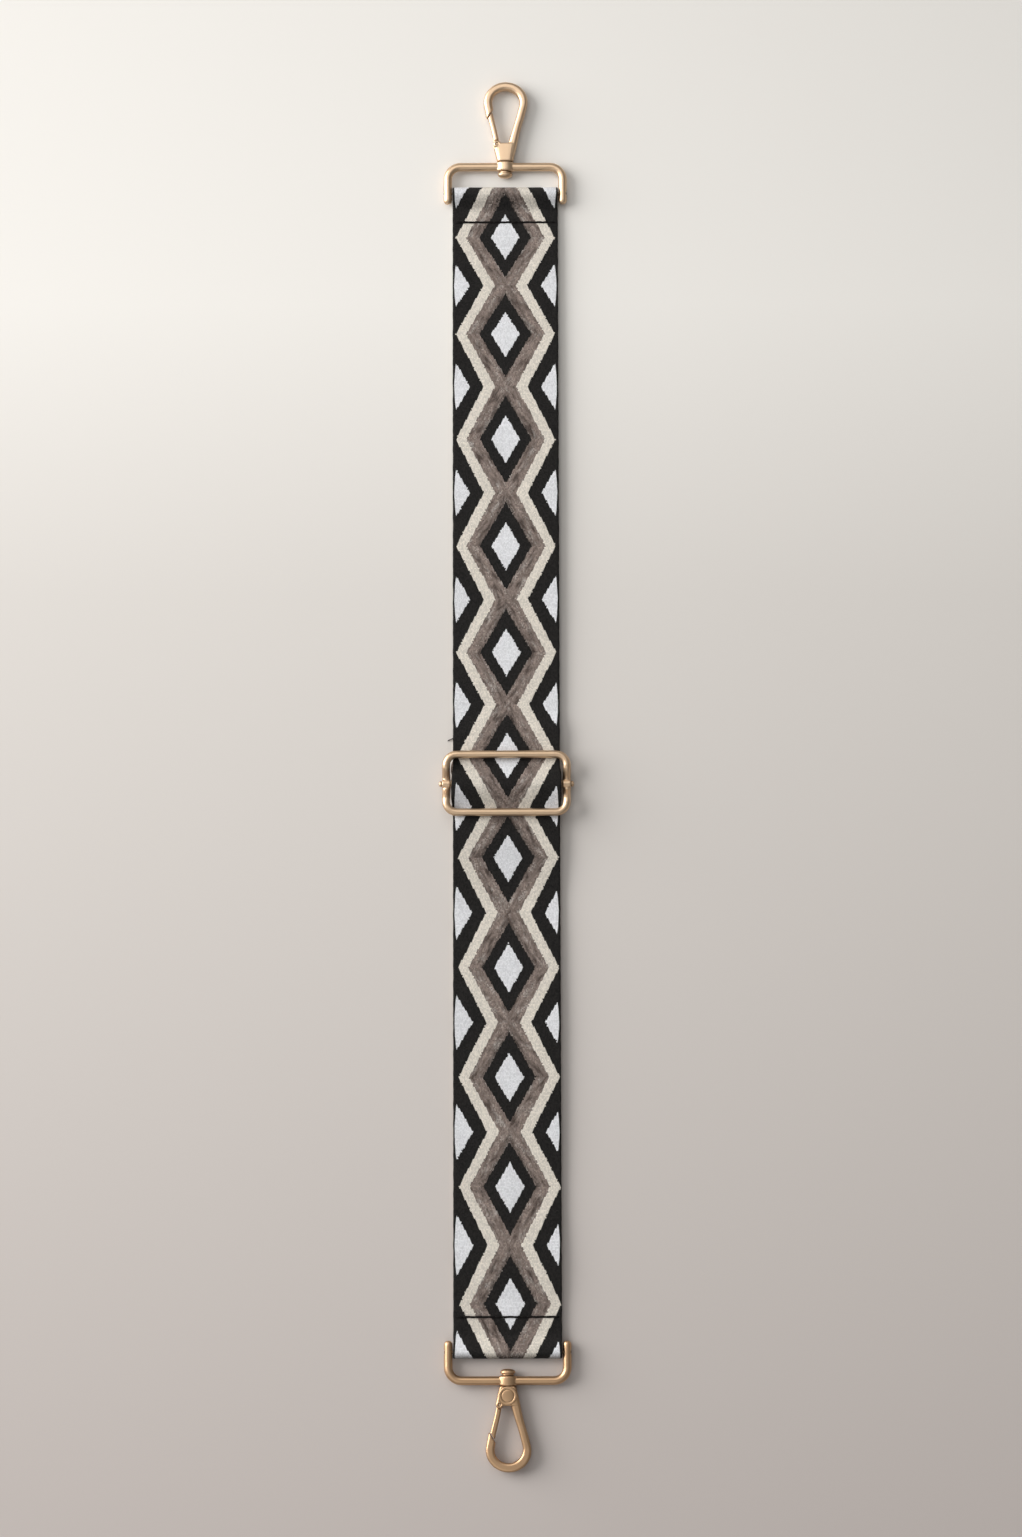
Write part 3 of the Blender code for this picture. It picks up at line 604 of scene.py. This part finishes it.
# (across, up) round the webbing's section, first along its front, then back along its reverse
def sectionPoints():
    thick = webbing["thick"] / 2
    rim, thin, rimSteps = sectionShape["rim"], sectionShape["rimThin"], sectionShape["rimSteps"]
    places = [i * sectionShape["spacing"] - sectionShape["inner"] for i in range(sectionShape["count"])]
    places = [inset - half for inset in rimSteps] + places + [half - inset for inset in reversed(rimSteps)]
    found = []
    for place in places:
        inset = min(half - abs(place), rim)
        found.append((place, thick * (thin + (1 - thin) * math.sqrt(1 - (1 - inset / rim) ** 2))))
    return found + [(place, -up) for place, up in reversed(found)]


def foldSwell(y):
    away = (abs(y) - webbing["ringBarAt"] - foldFlare["past"]) / foldFlare["run"]
    return foldFlare["most"] * max(0.0, 1 - away * away)


def crossingSwell(y):
    away = (y - adjusterAt + crossingFlare["below"]) / crossingFlare["run"]
    return crossingFlare["most"] * max(0.0, 1 - away * away)


# A place in the section, moved by the loom's unevenness: (across, up)
def uneven(place, up, run, pinch, swell):
    edge = max(0.0, abs(place) - (half - unevenness["edgeReach"])) / unevenness["edgeReach"]
    slow, slowTurns = unevenness["slowWave"]
    quick, quickTurns = unevenness["quickWave"]
    lag = unevenness["slowWaveLag"] if place > 0 else 0.0
    wander = slow * math.sin(run * slowTurns + lag) + quick * math.sin(run * quickTurns)
    ripple, turnsAcross, turnsAlong = unevenness["ripple"]
    up = up * pinch + ripple * math.sin(place * turnsAcross + run * turnsAlong)
    rim = max(0.0, 1 - (half - abs(place)) / sectionShape["rim"])
    return place + math.copysign(wander * edge + rim * swell, place), up


# patternRun gives how far the pattern has run at (y, distance along the course)
def makeRibbon(name, course, patternRun, materials, seams=(), settle=None, swell=foldSwell):
    points = evenly(course)
    section = sectionPoints()
    frontCount = len(section) // 2
    bm = bmesh.new()
    spot = bm.verts.layers.int.new("spot")
    shift = bm.verts.layers.float.new("shift")
    facing = bm.verts.layers.float.new("facing")
    across = bm.verts.layers.float.new("across")
    slip = bm.verts.layers.float.new("slip")
    turned = bm.verts.layers.float.new("turned")

    def settleRow(row, j):
        y, z, run = points[j]
        before, after = points[max(j - 1, 0)], points[min(j + 1, len(points) - 1)]
        wayY, wayZ = Vector((after[0] - before[0], after[1] - before[1])).normalized()
        pinch = 1.0
        for seam in seams:
            pinch -= unevenness["seamPinch"] * math.exp(-(((y - seam) / unevenness["seamReach"]) ** 2))
        lifted = settle(y) if settle else 0.0
        ahead = patternRun(after[0], after[2]) - patternRun(before[0], before[2])
        sense = math.copysign(1.0, ahead * (after[0] - before[0]))
        for vert in row:
            place, up = section[vert[spot]]
            x, up = uneven(place, up, run, pinch, swell(y))
            vert.co = Vector((x, y - up * wayZ, z + up * wayY + lifted)) * mm
            vert[across] = place
            vert[slip] = slipAt(y)
            # Painted shade: how far the front faces towards -Y where the webbing turns down
            vert[turned] = max(wayZ, 0.0) if up > 0 else 0.0
            vert[facing] = sense
            vert[shift] = patternRun(y, run) - sense * y

    first = [bm.verts.new((0, 0, 0)) for _ in section]
    for i, vert in enumerate(first):
        vert[spot] = i
    settleRow(first, 0)
    edges = [bm.edges.new((first[i], first[(i + 1) % len(first)])) for i in range(len(first))]
    ends = [edges]
    for j in range(1, len(points)):
        grown = bmesh.ops.extrude_edge_only(bm, edges=edges)["geom"]
        row = [item for item in grown if isinstance(item, bmesh.types.BMVert)]
        settleRow(row, j)
        newRow = set(row)
        wires = [item for item in grown if isinstance(item, bmesh.types.BMEdge)]
        edges = [wire for wire in wires if newRow.issuperset(wire.verts)]
    ends.append(edges)
    for face in bm.faces:
        spots = {vert[spot] for vert in face.verts}
        if max(spots) < frontCount:
            face.material_index = 0
        elif min(spots) >= frontCount:
            face.material_index = 1
        else:
            face.material_index = 2
    for loop in ends:
        for face in bmesh.ops.contextual_create(bm, geom=loop)["faces"]:
            face.material_index = 2
    bmesh.ops.recalc_face_normals(bm, faces=bm.faces)
    mesh = meshFrom(bm, name)
    mesh.shade_smooth()
    for material in materials:
        mesh.materials.append(material)
    return addObject(name, mesh)


# Stiff webbing bridges from one thick place to the next, just clear of the floor
def lift(most, y, start, end):
    return most * math.sin(math.pi * shareOf(y, start, end)) ** webbing["liftFullness"]


# From the adjuster up the front, round the top bar and down behind
def makeUpperWebbing():
    bar = webbing["ringBarAt"]
    start = adjusterAt + adjusterEnd + gap
    drop = adjusterAt + webbing["loopTail"] + webbing["lead"]
    dropped = drop + webbing["layerRamp"]
    course = [(start, layerZ(2)), (drop, layerZ(2))]
    course += ramp((drop, layerZ(2)), (dropped, layerZ(1)))
    course.append((bar - webbing["foldRamp"], layerZ(1)))
    course += ramp((bar - webbing["foldRamp"], layerZ(1)), (bar, foldTopZ))
    foldRun = lengthOf(course)
    course += turnRound(bar, webbing["ringBarZ"], webbing["foldRadius"], 90, -90)[1:]
    course.append((dropped, layerZ(0)))
    course += ramp((dropped, layerZ(0)), (drop, layerZ(1)))
    course.append((start, layerZ(1)))

    def patternRun(y, run):
        return diamondsTo(y) if run <= foldRun else diamondsTo(bar) + run - foldRun

    def settle(y):
        return lift(webbing["upperLift"], y, drop, webbing["topSeam"])

    piece = makeRibbon("upperWebbing", course, patternRun, frontSide, (webbing["topSeam"],), settle)
    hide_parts("webbing_upper")
    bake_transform(piece, "slider", "top_end", start=(0, upperStretch[0] * mm, 0), end=(0, upperStretch[1] * mm, 0))
    return piece, evenly(course)[-1][2]


# The sewn tail behind, round the bottom bar and up the front to the adjuster
def makeLowerWebbing():
    bar = -webbing["ringBarAt"]
    start = adjusterAt - adjusterEnd - gap
    tail = bar + webbing["tail"]
    past = tail + webbing["lead"]
    course = [(tail, layerZ(0))]
    course += turnRound(bar, webbing["ringBarZ"], webbing["foldRadius"], 270, 90)
    foldRun = lengthOf(course)
    course += ramp((bar, foldTopZ), (bar + webbing["foldRamp"], layerZ(1)))
    course.append((past, layerZ(1)))
    course += ramp((past, layerZ(1)), (past + webbing["tailRamp"], layerZ(0)), steps=40)
    course.append((start - webbing["exitRamp"], layerZ(0)))
    course += ramp((start - webbing["exitRamp"], layerZ(0)), (start, layerZ(2)), steps=30)

    def patternRun(y, run):
        return diamondsTo(y) if run >= foldRun else diamondsTo(bar) + run - foldRun

    def settle(y):
        return lift(webbing["lowerLift"], y, tail, start)

    piece = makeRibbon("lowerWebbing", course, patternRun, frontSide, (webbing["bottomSeam"],), settle)
    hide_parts("webbing_lower")
    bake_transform(piece, "strap", "slider", start=(0, lowerStretch[0] * mm, 0), end=(0, lowerStretch[1] * mm, 0))
    return piece, evenly(course)[-1][2]


# Under both ends of the adjuster and over its middle bar
def makeCrossing():
    end = adjusterEnd - gap
    top = webbing["adjusterBarZ"] + webbing["loopRadius"] + webbing["thick"] + webbing["fit"]
    course = [(adjusterAt - end, layerZ(2))]
    course += ramp((adjusterAt - end, layerZ(2)), (adjusterAt, top), steps=20)
    course += ramp((adjusterAt, top), (adjusterAt + end, layerZ(2)), steps=20)

    def patternRun(y, run):
        return diamondsTo(y)

    piece = makeRibbon("crossingWebbing", course, patternRun, frontSide, swell=crossingSwell)
    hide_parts("webbing_crossing")
    # All of it goes with the adjuster, while its pattern stays where the strap's is
    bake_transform(piece, "strap", "slider", start=(0, -0.2, 0), end=(0, -0.1, 0))
    return piece, evenly(course)[-1][2]


# The sewn loop on the adjuster's middle bar. A pale corner peeps out left of the front.
def makeAdjusterLoop():
    tail = adjusterAt + webbing["loopTail"]
    top = webbing["adjusterBarZ"] + webbing["loopRadius"]
    course = [(tail, layerZ(0))]
    course += turnRound(adjusterAt, webbing["adjusterBarZ"], webbing["loopRadius"], 270, 90)
    course += ramp((adjusterAt, top), (adjusterAt + webbing["layerRamp"], layerZ(1)), steps=16)
    course.append((adjusterAt + adjusterEnd - gap, layerZ(1)))
    total = evenly(course)[-1][2]
    first, last = peep["from"], peep["to"]
    toPeep = total - (adjusterEnd - gap - (first + last) / 2)

    def patternRun(y, run):
        return pattern["repeat"] / 2 + toPeep - run

    piece = makeRibbon("adjusterLoop", course, patternRun, (reverse, front, selvedge))
    bm = bmesh.new()
    bm.from_mesh(piece.data)
    across = bm.verts.layers.float["across"]
    for vert in bm.verts:
        vert[across] *= peep["patternWide"]
        if vert.co.z > layerZ(0) * mm:
            away = shareOf(vert.co.y / mm, adjusterAt + first, adjusterAt + last)
            vert.co.x -= peep["out"] * math.sin(math.pi * away) * mm
    bm.to_mesh(piece.data)
    bm.free()
    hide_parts("webbing_end_loop")
    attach(piece, "slider")
    return piece, total


upperWebbing, upperLength = makeUpperWebbing()
lowerWebbing, lowerLength = makeLowerWebbing()
crossingWebbing, crossingLength = makeCrossing()
adjusterLoop, loopLength = makeAdjusterLoop()
print("webbing woven", round(upperLength + lowerLength + crossingLength + loopLength), "mm in all")


# The cross seams: a dark thread that dips into the webbing at each stitch
seamLook = {
    "radius": 0.5,
    "stitch": 2.9,
    "pointsPerStitch": 8,
    "inset": 1.6,
    "dip": 0.35,
    "sunk": 0.35,
    "wander": (0.05, 1.3),
    "groove": 0.7,
    "backRise": 1.65,
}
# One end of thread left long at the loop's sewn tail: across, along and up at its start, and its reach
looseEnd = {"radius": 0.22, "start": (0.8, -0.1, 0.55), "reach": (-3.4, -1.3, -0.15), "bend": 1.6, "steps": 8}


def makeTube(name, points, radius, body):
    curve = bpy.data.curves.new(name, "CURVE")
    curve.dimensions = "3D"
    curve.bevel_depth = radius * mm
    curve.bevel_resolution = 3
    curve.use_fill_caps = True
    spline = curve.splines.new("POLY")
    spline.points.add(len(points) - 1)
    for point, place in zip(spline.points, points):
        point.co = (*(Vector(place) * mm), 1)
    mesh = settledMesh(addObject(name + "Draft", curve))
    mesh.shade_smooth()
    mesh.materials.clear()
    mesh.materials.append(thread)
    piece = addObject(name, mesh)
    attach(piece, body)
    return piece


def makeSeam(name, y, surfaceZ, upwards, body):
    reach = half - seamLook["inset"]
    radius, each = seamLook["radius"], seamLook["pointsPerStitch"]
    wander, turns = seamLook["wander"]
    count = round(2 * reach / seamLook["stitch"]) * each
    points = []
    for i in range(count + 1):
        x = -reach + 2 * reach * i / count
        dip = abs(math.sin(math.pi * i / each)) ** seamLook["dip"]
        z = surfaceZ + upwards * (radius * dip - radius * seamLook["sunk"])
        points.append((x, y + wander * math.sin(x * turns), z))
    return makeTube(name, points, radius, body)


def makeLooseThread():
    tail = adjusterAt + webbing["loopTail"]
    (x, y, z), (reachX, reachY, reachZ) = looseEnd["start"], looseEnd["reach"]
    points = []
    for i in range(looseEnd["steps"] + 1):
        away = i / looseEnd["steps"]
        bent = away ** looseEnd["bend"]
        points.append((-half + x + reachX * away, tail + y + reachY * bent, z + reachZ * away))
    return makeTube("looseThread", points, looseEnd["radius"], "slider")


grooved = layerZ(1) + webbing["thick"] / 2 * seamLook["groove"]
behind = seamLook["radius"] * seamLook["backRise"]
topThread = makeSeam("topSeam", webbing["topSeam"], grooved, 1, "top_end")
bottomThread = makeSeam("bottomSeam", webbing["bottomSeam"], grooved, 1, "strap")
bottomBackThread = makeSeam("bottomSeamBack", webbing["bottomSeam"], behind, -1, "strap")
looseThread = makeLooseThread()
print("seams sewn")


# Castings: the solid's own shape with its edges and inside corners softened, as plated zinc has them
castings = {
    "ring": {"grain": 0.2, "passes": 7, "swell": 0.12},
    "hook": {"grain": 0.17, "passes": 9, "swell": 0.14},
    "gate": {"grain": 0.12, "passes": 5, "swell": 0.06},
    "frame": {"grain": 0.2, "passes": 6, "swell": 0.12},
    "small": {"grain": 0.12, "passes": 4},
}
# The bottom end's metal gets a darker, warmer copy of the gold: painted shade for the dimmer light at that end
finishes = {"top": gold, "bottom": bottomShadeGold}
# The adjuster's ends lie a little nearer its middle bar than the solid's
frameShare = 0.975
# Where along the strap the bow's extra spread starts and is complete, and how much it is
bowSpread = (300.0, 312.0, 0.06)
# The gate's tip stands off the nose by the width of a dark line
gateFit = {"hinge": (-3.79, 296.8, 3.0), "share": 0.972}
# The cap's outline from its middle out and round to its underside: radius, height over its face, and painted shade
# in its groove and under its rim
capOutline = (
    (0.0, 0.16, 0.0), (1.2, 0.14, 0.0), (2.2, 0.05, 0.0), (2.7, -0.04, 0.15), (2.88, -0.16, 0.8),
    (3.06, -0.04, 0.2), (3.3, 0.06, 0.0), (3.9, 0.08, 0.0), (4.15, 0.0, 0.0), (4.3, -0.16, 0.5),
    (4.25, -0.22, 0.85), (3.8, -0.24, 0.85), (3.75, -0.5, 0.85), (0.0, -0.5, 0.0),
)
capSteps = 72
tiny = 1e-7  # metres


# Painted shade in inside corners and on sideways-facing flanks: an attribute from how hollow the surface is there
# and how far it faces sideways
def paintCreaseShade(mesh, grain):
    bm = bmesh.new()
    bm.from_mesh(mesh)
    paintedShade = bm.verts.layers.float.new("paintedShade")
    bm.normal_update()
    around = {vert: [edge.other_vert(vert) for edge in vert.link_edges] for vert in bm.verts}
    hollow = {}
    for vert, others in around.items():
        rise = sum(vert.normal.dot(other.co - vert.co) for other in others)
        hollow[vert] = rise / len(others) / grain
    for _ in range(2):
        hollow = {
            vert: (hollow[vert] + sum(hollow[other] for other in others)) / (1 + len(others))
            for vert, others in around.items()
        }
    for vert, amount in hollow.items():
        flankShade = goldLook["flankShade"] * (1 - abs(vert.normal.z))
        dark = max((amount - goldLook["flatBelow"]) * goldLook["paintedShadeGain"], 0.0)
        vert[paintedShade] = min(dark + flankShade, goldLook["darkest"])
    bm.to_mesh(mesh)
    bm.free()


def makeCasting(name, node, body, material, grain, passes, swell=0.0):
    source = bmesh.new()
    source.from_mesh(nodes[node].data)
    bmesh.ops.remove_doubles(source, verts=source.verts, dist=tiny)
    draft = addObject(name + "Draft", meshFrom(source, name + "Draft"))
    remesh = draft.modifiers.new("remesh", "REMESH")
    remesh.mode = "VOXEL"
    remesh.voxel_size = grain * mm
    soften = draft.modifiers.new("soften", "SMOOTH")
    soften.factor = 0.5
    soften.iterations = passes
    finished = settledMesh(draft)
    finished.name = name
    normals = [vert.normal.copy() for vert in finished.vertices]
    for vert, normal in zip(finished.vertices, normals):
        vert.co += normal * swell * mm
    # Painted shade in its inside corners and on its sideways flanks
    paintCreaseShade(finished, grain * mm)
    finished.shade_smooth()
    finished.materials.clear()
    finished.materials.append(material)
    piece = addObject(name, finished)
    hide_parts(node)
    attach(piece, body)
    return piece


# Painted shade also where one piece meets another
def paintMeetingShade(piece, other):
    reach = goldLook["meetingReach"] * mm
    places = [vert.co for vert in other.data.vertices]
    tree = BVHTree.FromPolygons(places, [face.vertices for face in other.data.polygons])
    paintedShade = piece.data.attributes["paintedShade"].data
    for vert in piece.data.vertices:
        nearest = tree.find_nearest(vert.co, reach)
        if nearest[0] is not None:
            dark = goldLook["darkest"] * min(goldLook["meetingGain"] * (1 - nearest[3] / reach), 1.0)
            paintedShade[vert.index].value = max(paintedShade[vert.index].value, dark)


# The hook's bow spreads a little more than the solid's, from its base outwards
def widenBow(piece):
    start, end, most = bowSpread
    for vert in piece.data.vertices:
        away = shareOf(abs(vert.co.y) / mm, start, end)
        vert.co.x *= 1 + most * away * away * (3 - 2 * away)


def resize(piece, middle, share):
    for vert in piece.data.vertices:
        vert.co = middle + (vert.co - middle) * share


# The round cap in a hook's base, plain and a little domed. way is up or down.
def makeCap(name, node, body, way, finish):
    low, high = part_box(node)
    middle = (low + high) / 2
    face = high.z if way > 0 else low.z
    bm = bmesh.new()
    paintedShade = bm.verts.layers.float.new("paintedShade")
    outline = []
    for radius, height, dark in capOutline:
        outline.append(bm.verts.new(Vector((radius, 0, height)) * mm))
        outline[-1][paintedShade] = dark
    wires = [bm.edges.new(pair) for pair in zip(outline, outline[1:])]
    bmesh.ops.spin(
        bm, geom=outline + wires, cent=(0, 0, 0), axis=(0, 0, 1), angle=2 * math.pi, steps=capSteps,
        use_merge=True,
    )
    bmesh.ops.remove_doubles(bm, verts=bm.verts, dist=tiny)
    for vert in bm.verts:
        vert.co = Vector((middle.x + vert.co.x, middle.y + vert.co.y, face + vert.co.z * way))
    bmesh.ops.recalc_face_normals(bm, faces=bm.faces)
    mesh = meshFrom(bm, name)
    mesh.shade_smooth()
    mesh.materials.append(finish)
    piece = addObject(name, mesh)
    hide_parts(node)
    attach(piece, body)


for end, way in (("top", 1), ("bottom", -1)):
    made = {}
    for name, node, body, kind in (
        ("Ring", "ring_frame", "ring", "ring"),
        ("Hook", "hook_body", "hook", "hook"),
        ("Gate", "gate", "gate", "gate"),
        ("Rivet", "swivel_rivet", "hook", "small"),
    ):
        piece = makeCasting(end + name, f"{end}_{node}", f"{end}_{body}", finishes[end], **castings[kind])
        if kind == "gate":
            x, y, z = gateFit["hinge"]
            resize(piece, Vector((x, y * way, z)) * mm, gateFit["share"])
        if kind in ("hook", "gate"):
            widenBow(piece)
        made[name] = piece
    # Painted shade where these pieces meet
    for first, second in (("Hook", "Gate"), ("Ring", "Rivet"), ("Hook", "Rivet"), ("Ring", "Hook")):
        paintMeetingShade(made[first], made[second])
        paintMeetingShade(made[second], made[first])
    makeCap(end + "Cap", f"{end}_hook_cap", f"{end}_hook", -way, finishes[end])
adjusterFrame = makeCasting("adjusterFrame", "slider_frame", "slider", gold, **castings["frame"])
for vert in adjusterFrame.data.vertices:
    vert.co.y = (adjusterAt + (vert.co.y / mm - adjusterAt) * frameShare) * mm
adjusterBar = makeCasting("adjusterBar", "slider_bar", "slider", dullGold, **castings["small"])
# Painted shade where the frame and its middle bar meet
paintMeetingShade(adjusterFrame, adjusterBar)
paintMeetingShade(adjusterBar, adjusterFrame)
for end in finishes:
    # The ring bars take the gold darkened as painted shade
    for kind, finish in (("ring_bar", barShadeGold), ("gate_pin", dullGold), ("gate_spring", steel)):
        nodes[f"{end}_{kind}"].material_slots[0].material = finish
print("metal cast and plated")


# Floor, light and camera. The floor's tones, blended from each place along Y to the next, are painted light: darker
# towards -Y, lightest a little past the middle towards +Y.
room = {
    "floorHalf": 3.0,
    "floorZ": -0.00005,
    # Painted light on the floor: darker towards -Y, lightest a little past the middle
    "floorPaintedLight": (
        (-0.4, (0.53, 0.474, 0.444)),
        (0.08, (0.705, 0.667, 0.624)),
        (0.22, (0.825, 0.795, 0.748)),
        (0.4, (0.79, 0.762, 0.717)),
    ),
    "floorLook": {"Roughness": 0.9, "Specular IOR Level": 0.1},
    "lights": {
        "key": {"place": (-2.28, 0.72, 1.03), "size": 2.4, "power": 104.0},
        "overhead": {"place": (-0.15, 0.55, 0.9), "size": 0.9, "power": 2.3},
        "front": {"place": (-0.3, -1.0, 1.1), "size": 1.3, "power": 2.4},
    },
    "sky": {"level": 0.27, "overhead": 0.12, "right": -0.08, "ahead": 0.06, "least": 0.1},
    "skyStrength": 0.72,
}


def makeFloor():
    bm = bmesh.new()
    bmesh.ops.create_grid(bm, x_segments=1, y_segments=1, size=room["floorHalf"])
    bmesh.ops.translate(bm, verts=bm.verts, vec=(0, 0, room["floorZ"]))
    mesh = meshFrom(bm, "floor")
    material, tree, shader = newMaterial("paleFloor")
    along = axes(tree, coordinates(tree))["Y"]
    colour = room["floorPaintedLight"][0][1] + (1,)
    for (y0, _), (y1, tone) in zip(room["floorPaintedLight"], room["floorPaintedLight"][1:]):
        reach = tree.nodes.new("ShaderNodeMapRange")
        tree.links.new(along, reach.inputs["Value"])
        setLook(reach, {"From Min": y0, "From Max": y1})
        colour = blendColour(tree, reach.outputs[0], colour, tone + (1,))
    tree.links.new(colour, shader.inputs["Base Color"])
    setLook(shader, room["floorLook"])
    mesh.materials.append(material)
    addObject("floor", mesh)


def makeLights():
    for name, look in room["lights"].items():
        lamp = bpy.data.lights.new(name, "AREA")
        lamp.shape = "DISK"
        lamp.size = look["size"]
        lamp.energy = look["power"]
        light = addObject(name, lamp)
        light.location = look["place"]
        light.rotation_euler = (-Vector(look["place"])).to_track_quat("-Z", "Y").to_euler()


# A pale sky, a little lighter overhead, to the left and ahead
def makeSky():
    world = bpy.data.worlds.new("studio")
    bpy.context.scene.world = world
    world.use_nodes = True
    tree = world.node_tree
    sky = tree.nodes["Background"]
    place = axes(tree, coordinates(tree, "Generated"))
    tone = room["sky"]["level"]
    for axis, side in (("X", "right"), ("Y", "ahead"), ("Z", "overhead")):
        tone = calc(tree, "MULTIPLY_ADD", place[axis], room["sky"][side], tone)
    tone = calc(tree, "MAXIMUM", tone, room["sky"]["least"])
    tree.links.new(combine(tree, tone, tone, tone), sky.inputs["Color"])
    sky.inputs["Strength"].default_value = room["skyStrength"]


viewpoint = {
    "target": (1.75, -2.5, 0.0),
    "distance": 1600.0,
    "tilt": 6.0,
    "roll": -0.135,
    "lens": 79.77,
    "sensor": 36.0,
    "clip": (10.0, 20000.0),
}


def makeCamera():
    camera = bpy.data.cameras.new("camera")
    camera.sensor_fit = "VERTICAL"
    camera.sensor_height = viewpoint["sensor"]
    camera.lens = viewpoint["lens"]
    camera.clip_start, camera.clip_end = (distance * mm for distance in viewpoint["clip"])
    eye = addObject("camera", camera)
    tilt = math.radians(viewpoint["tilt"])
    back = Vector((0, -math.sin(tilt), math.cos(tilt)))
    eye.location = (Vector(viewpoint["target"]) + back * viewpoint["distance"]) * mm
    eye.rotation_euler = (tilt, 0, math.radians(viewpoint["roll"]))
    bpy.context.scene.camera = eye


makeFloor()
makeLights()
makeSky()
makeCamera()
bpy.context.scene.view_settings.view_transform = "Standard"
print("room lit")
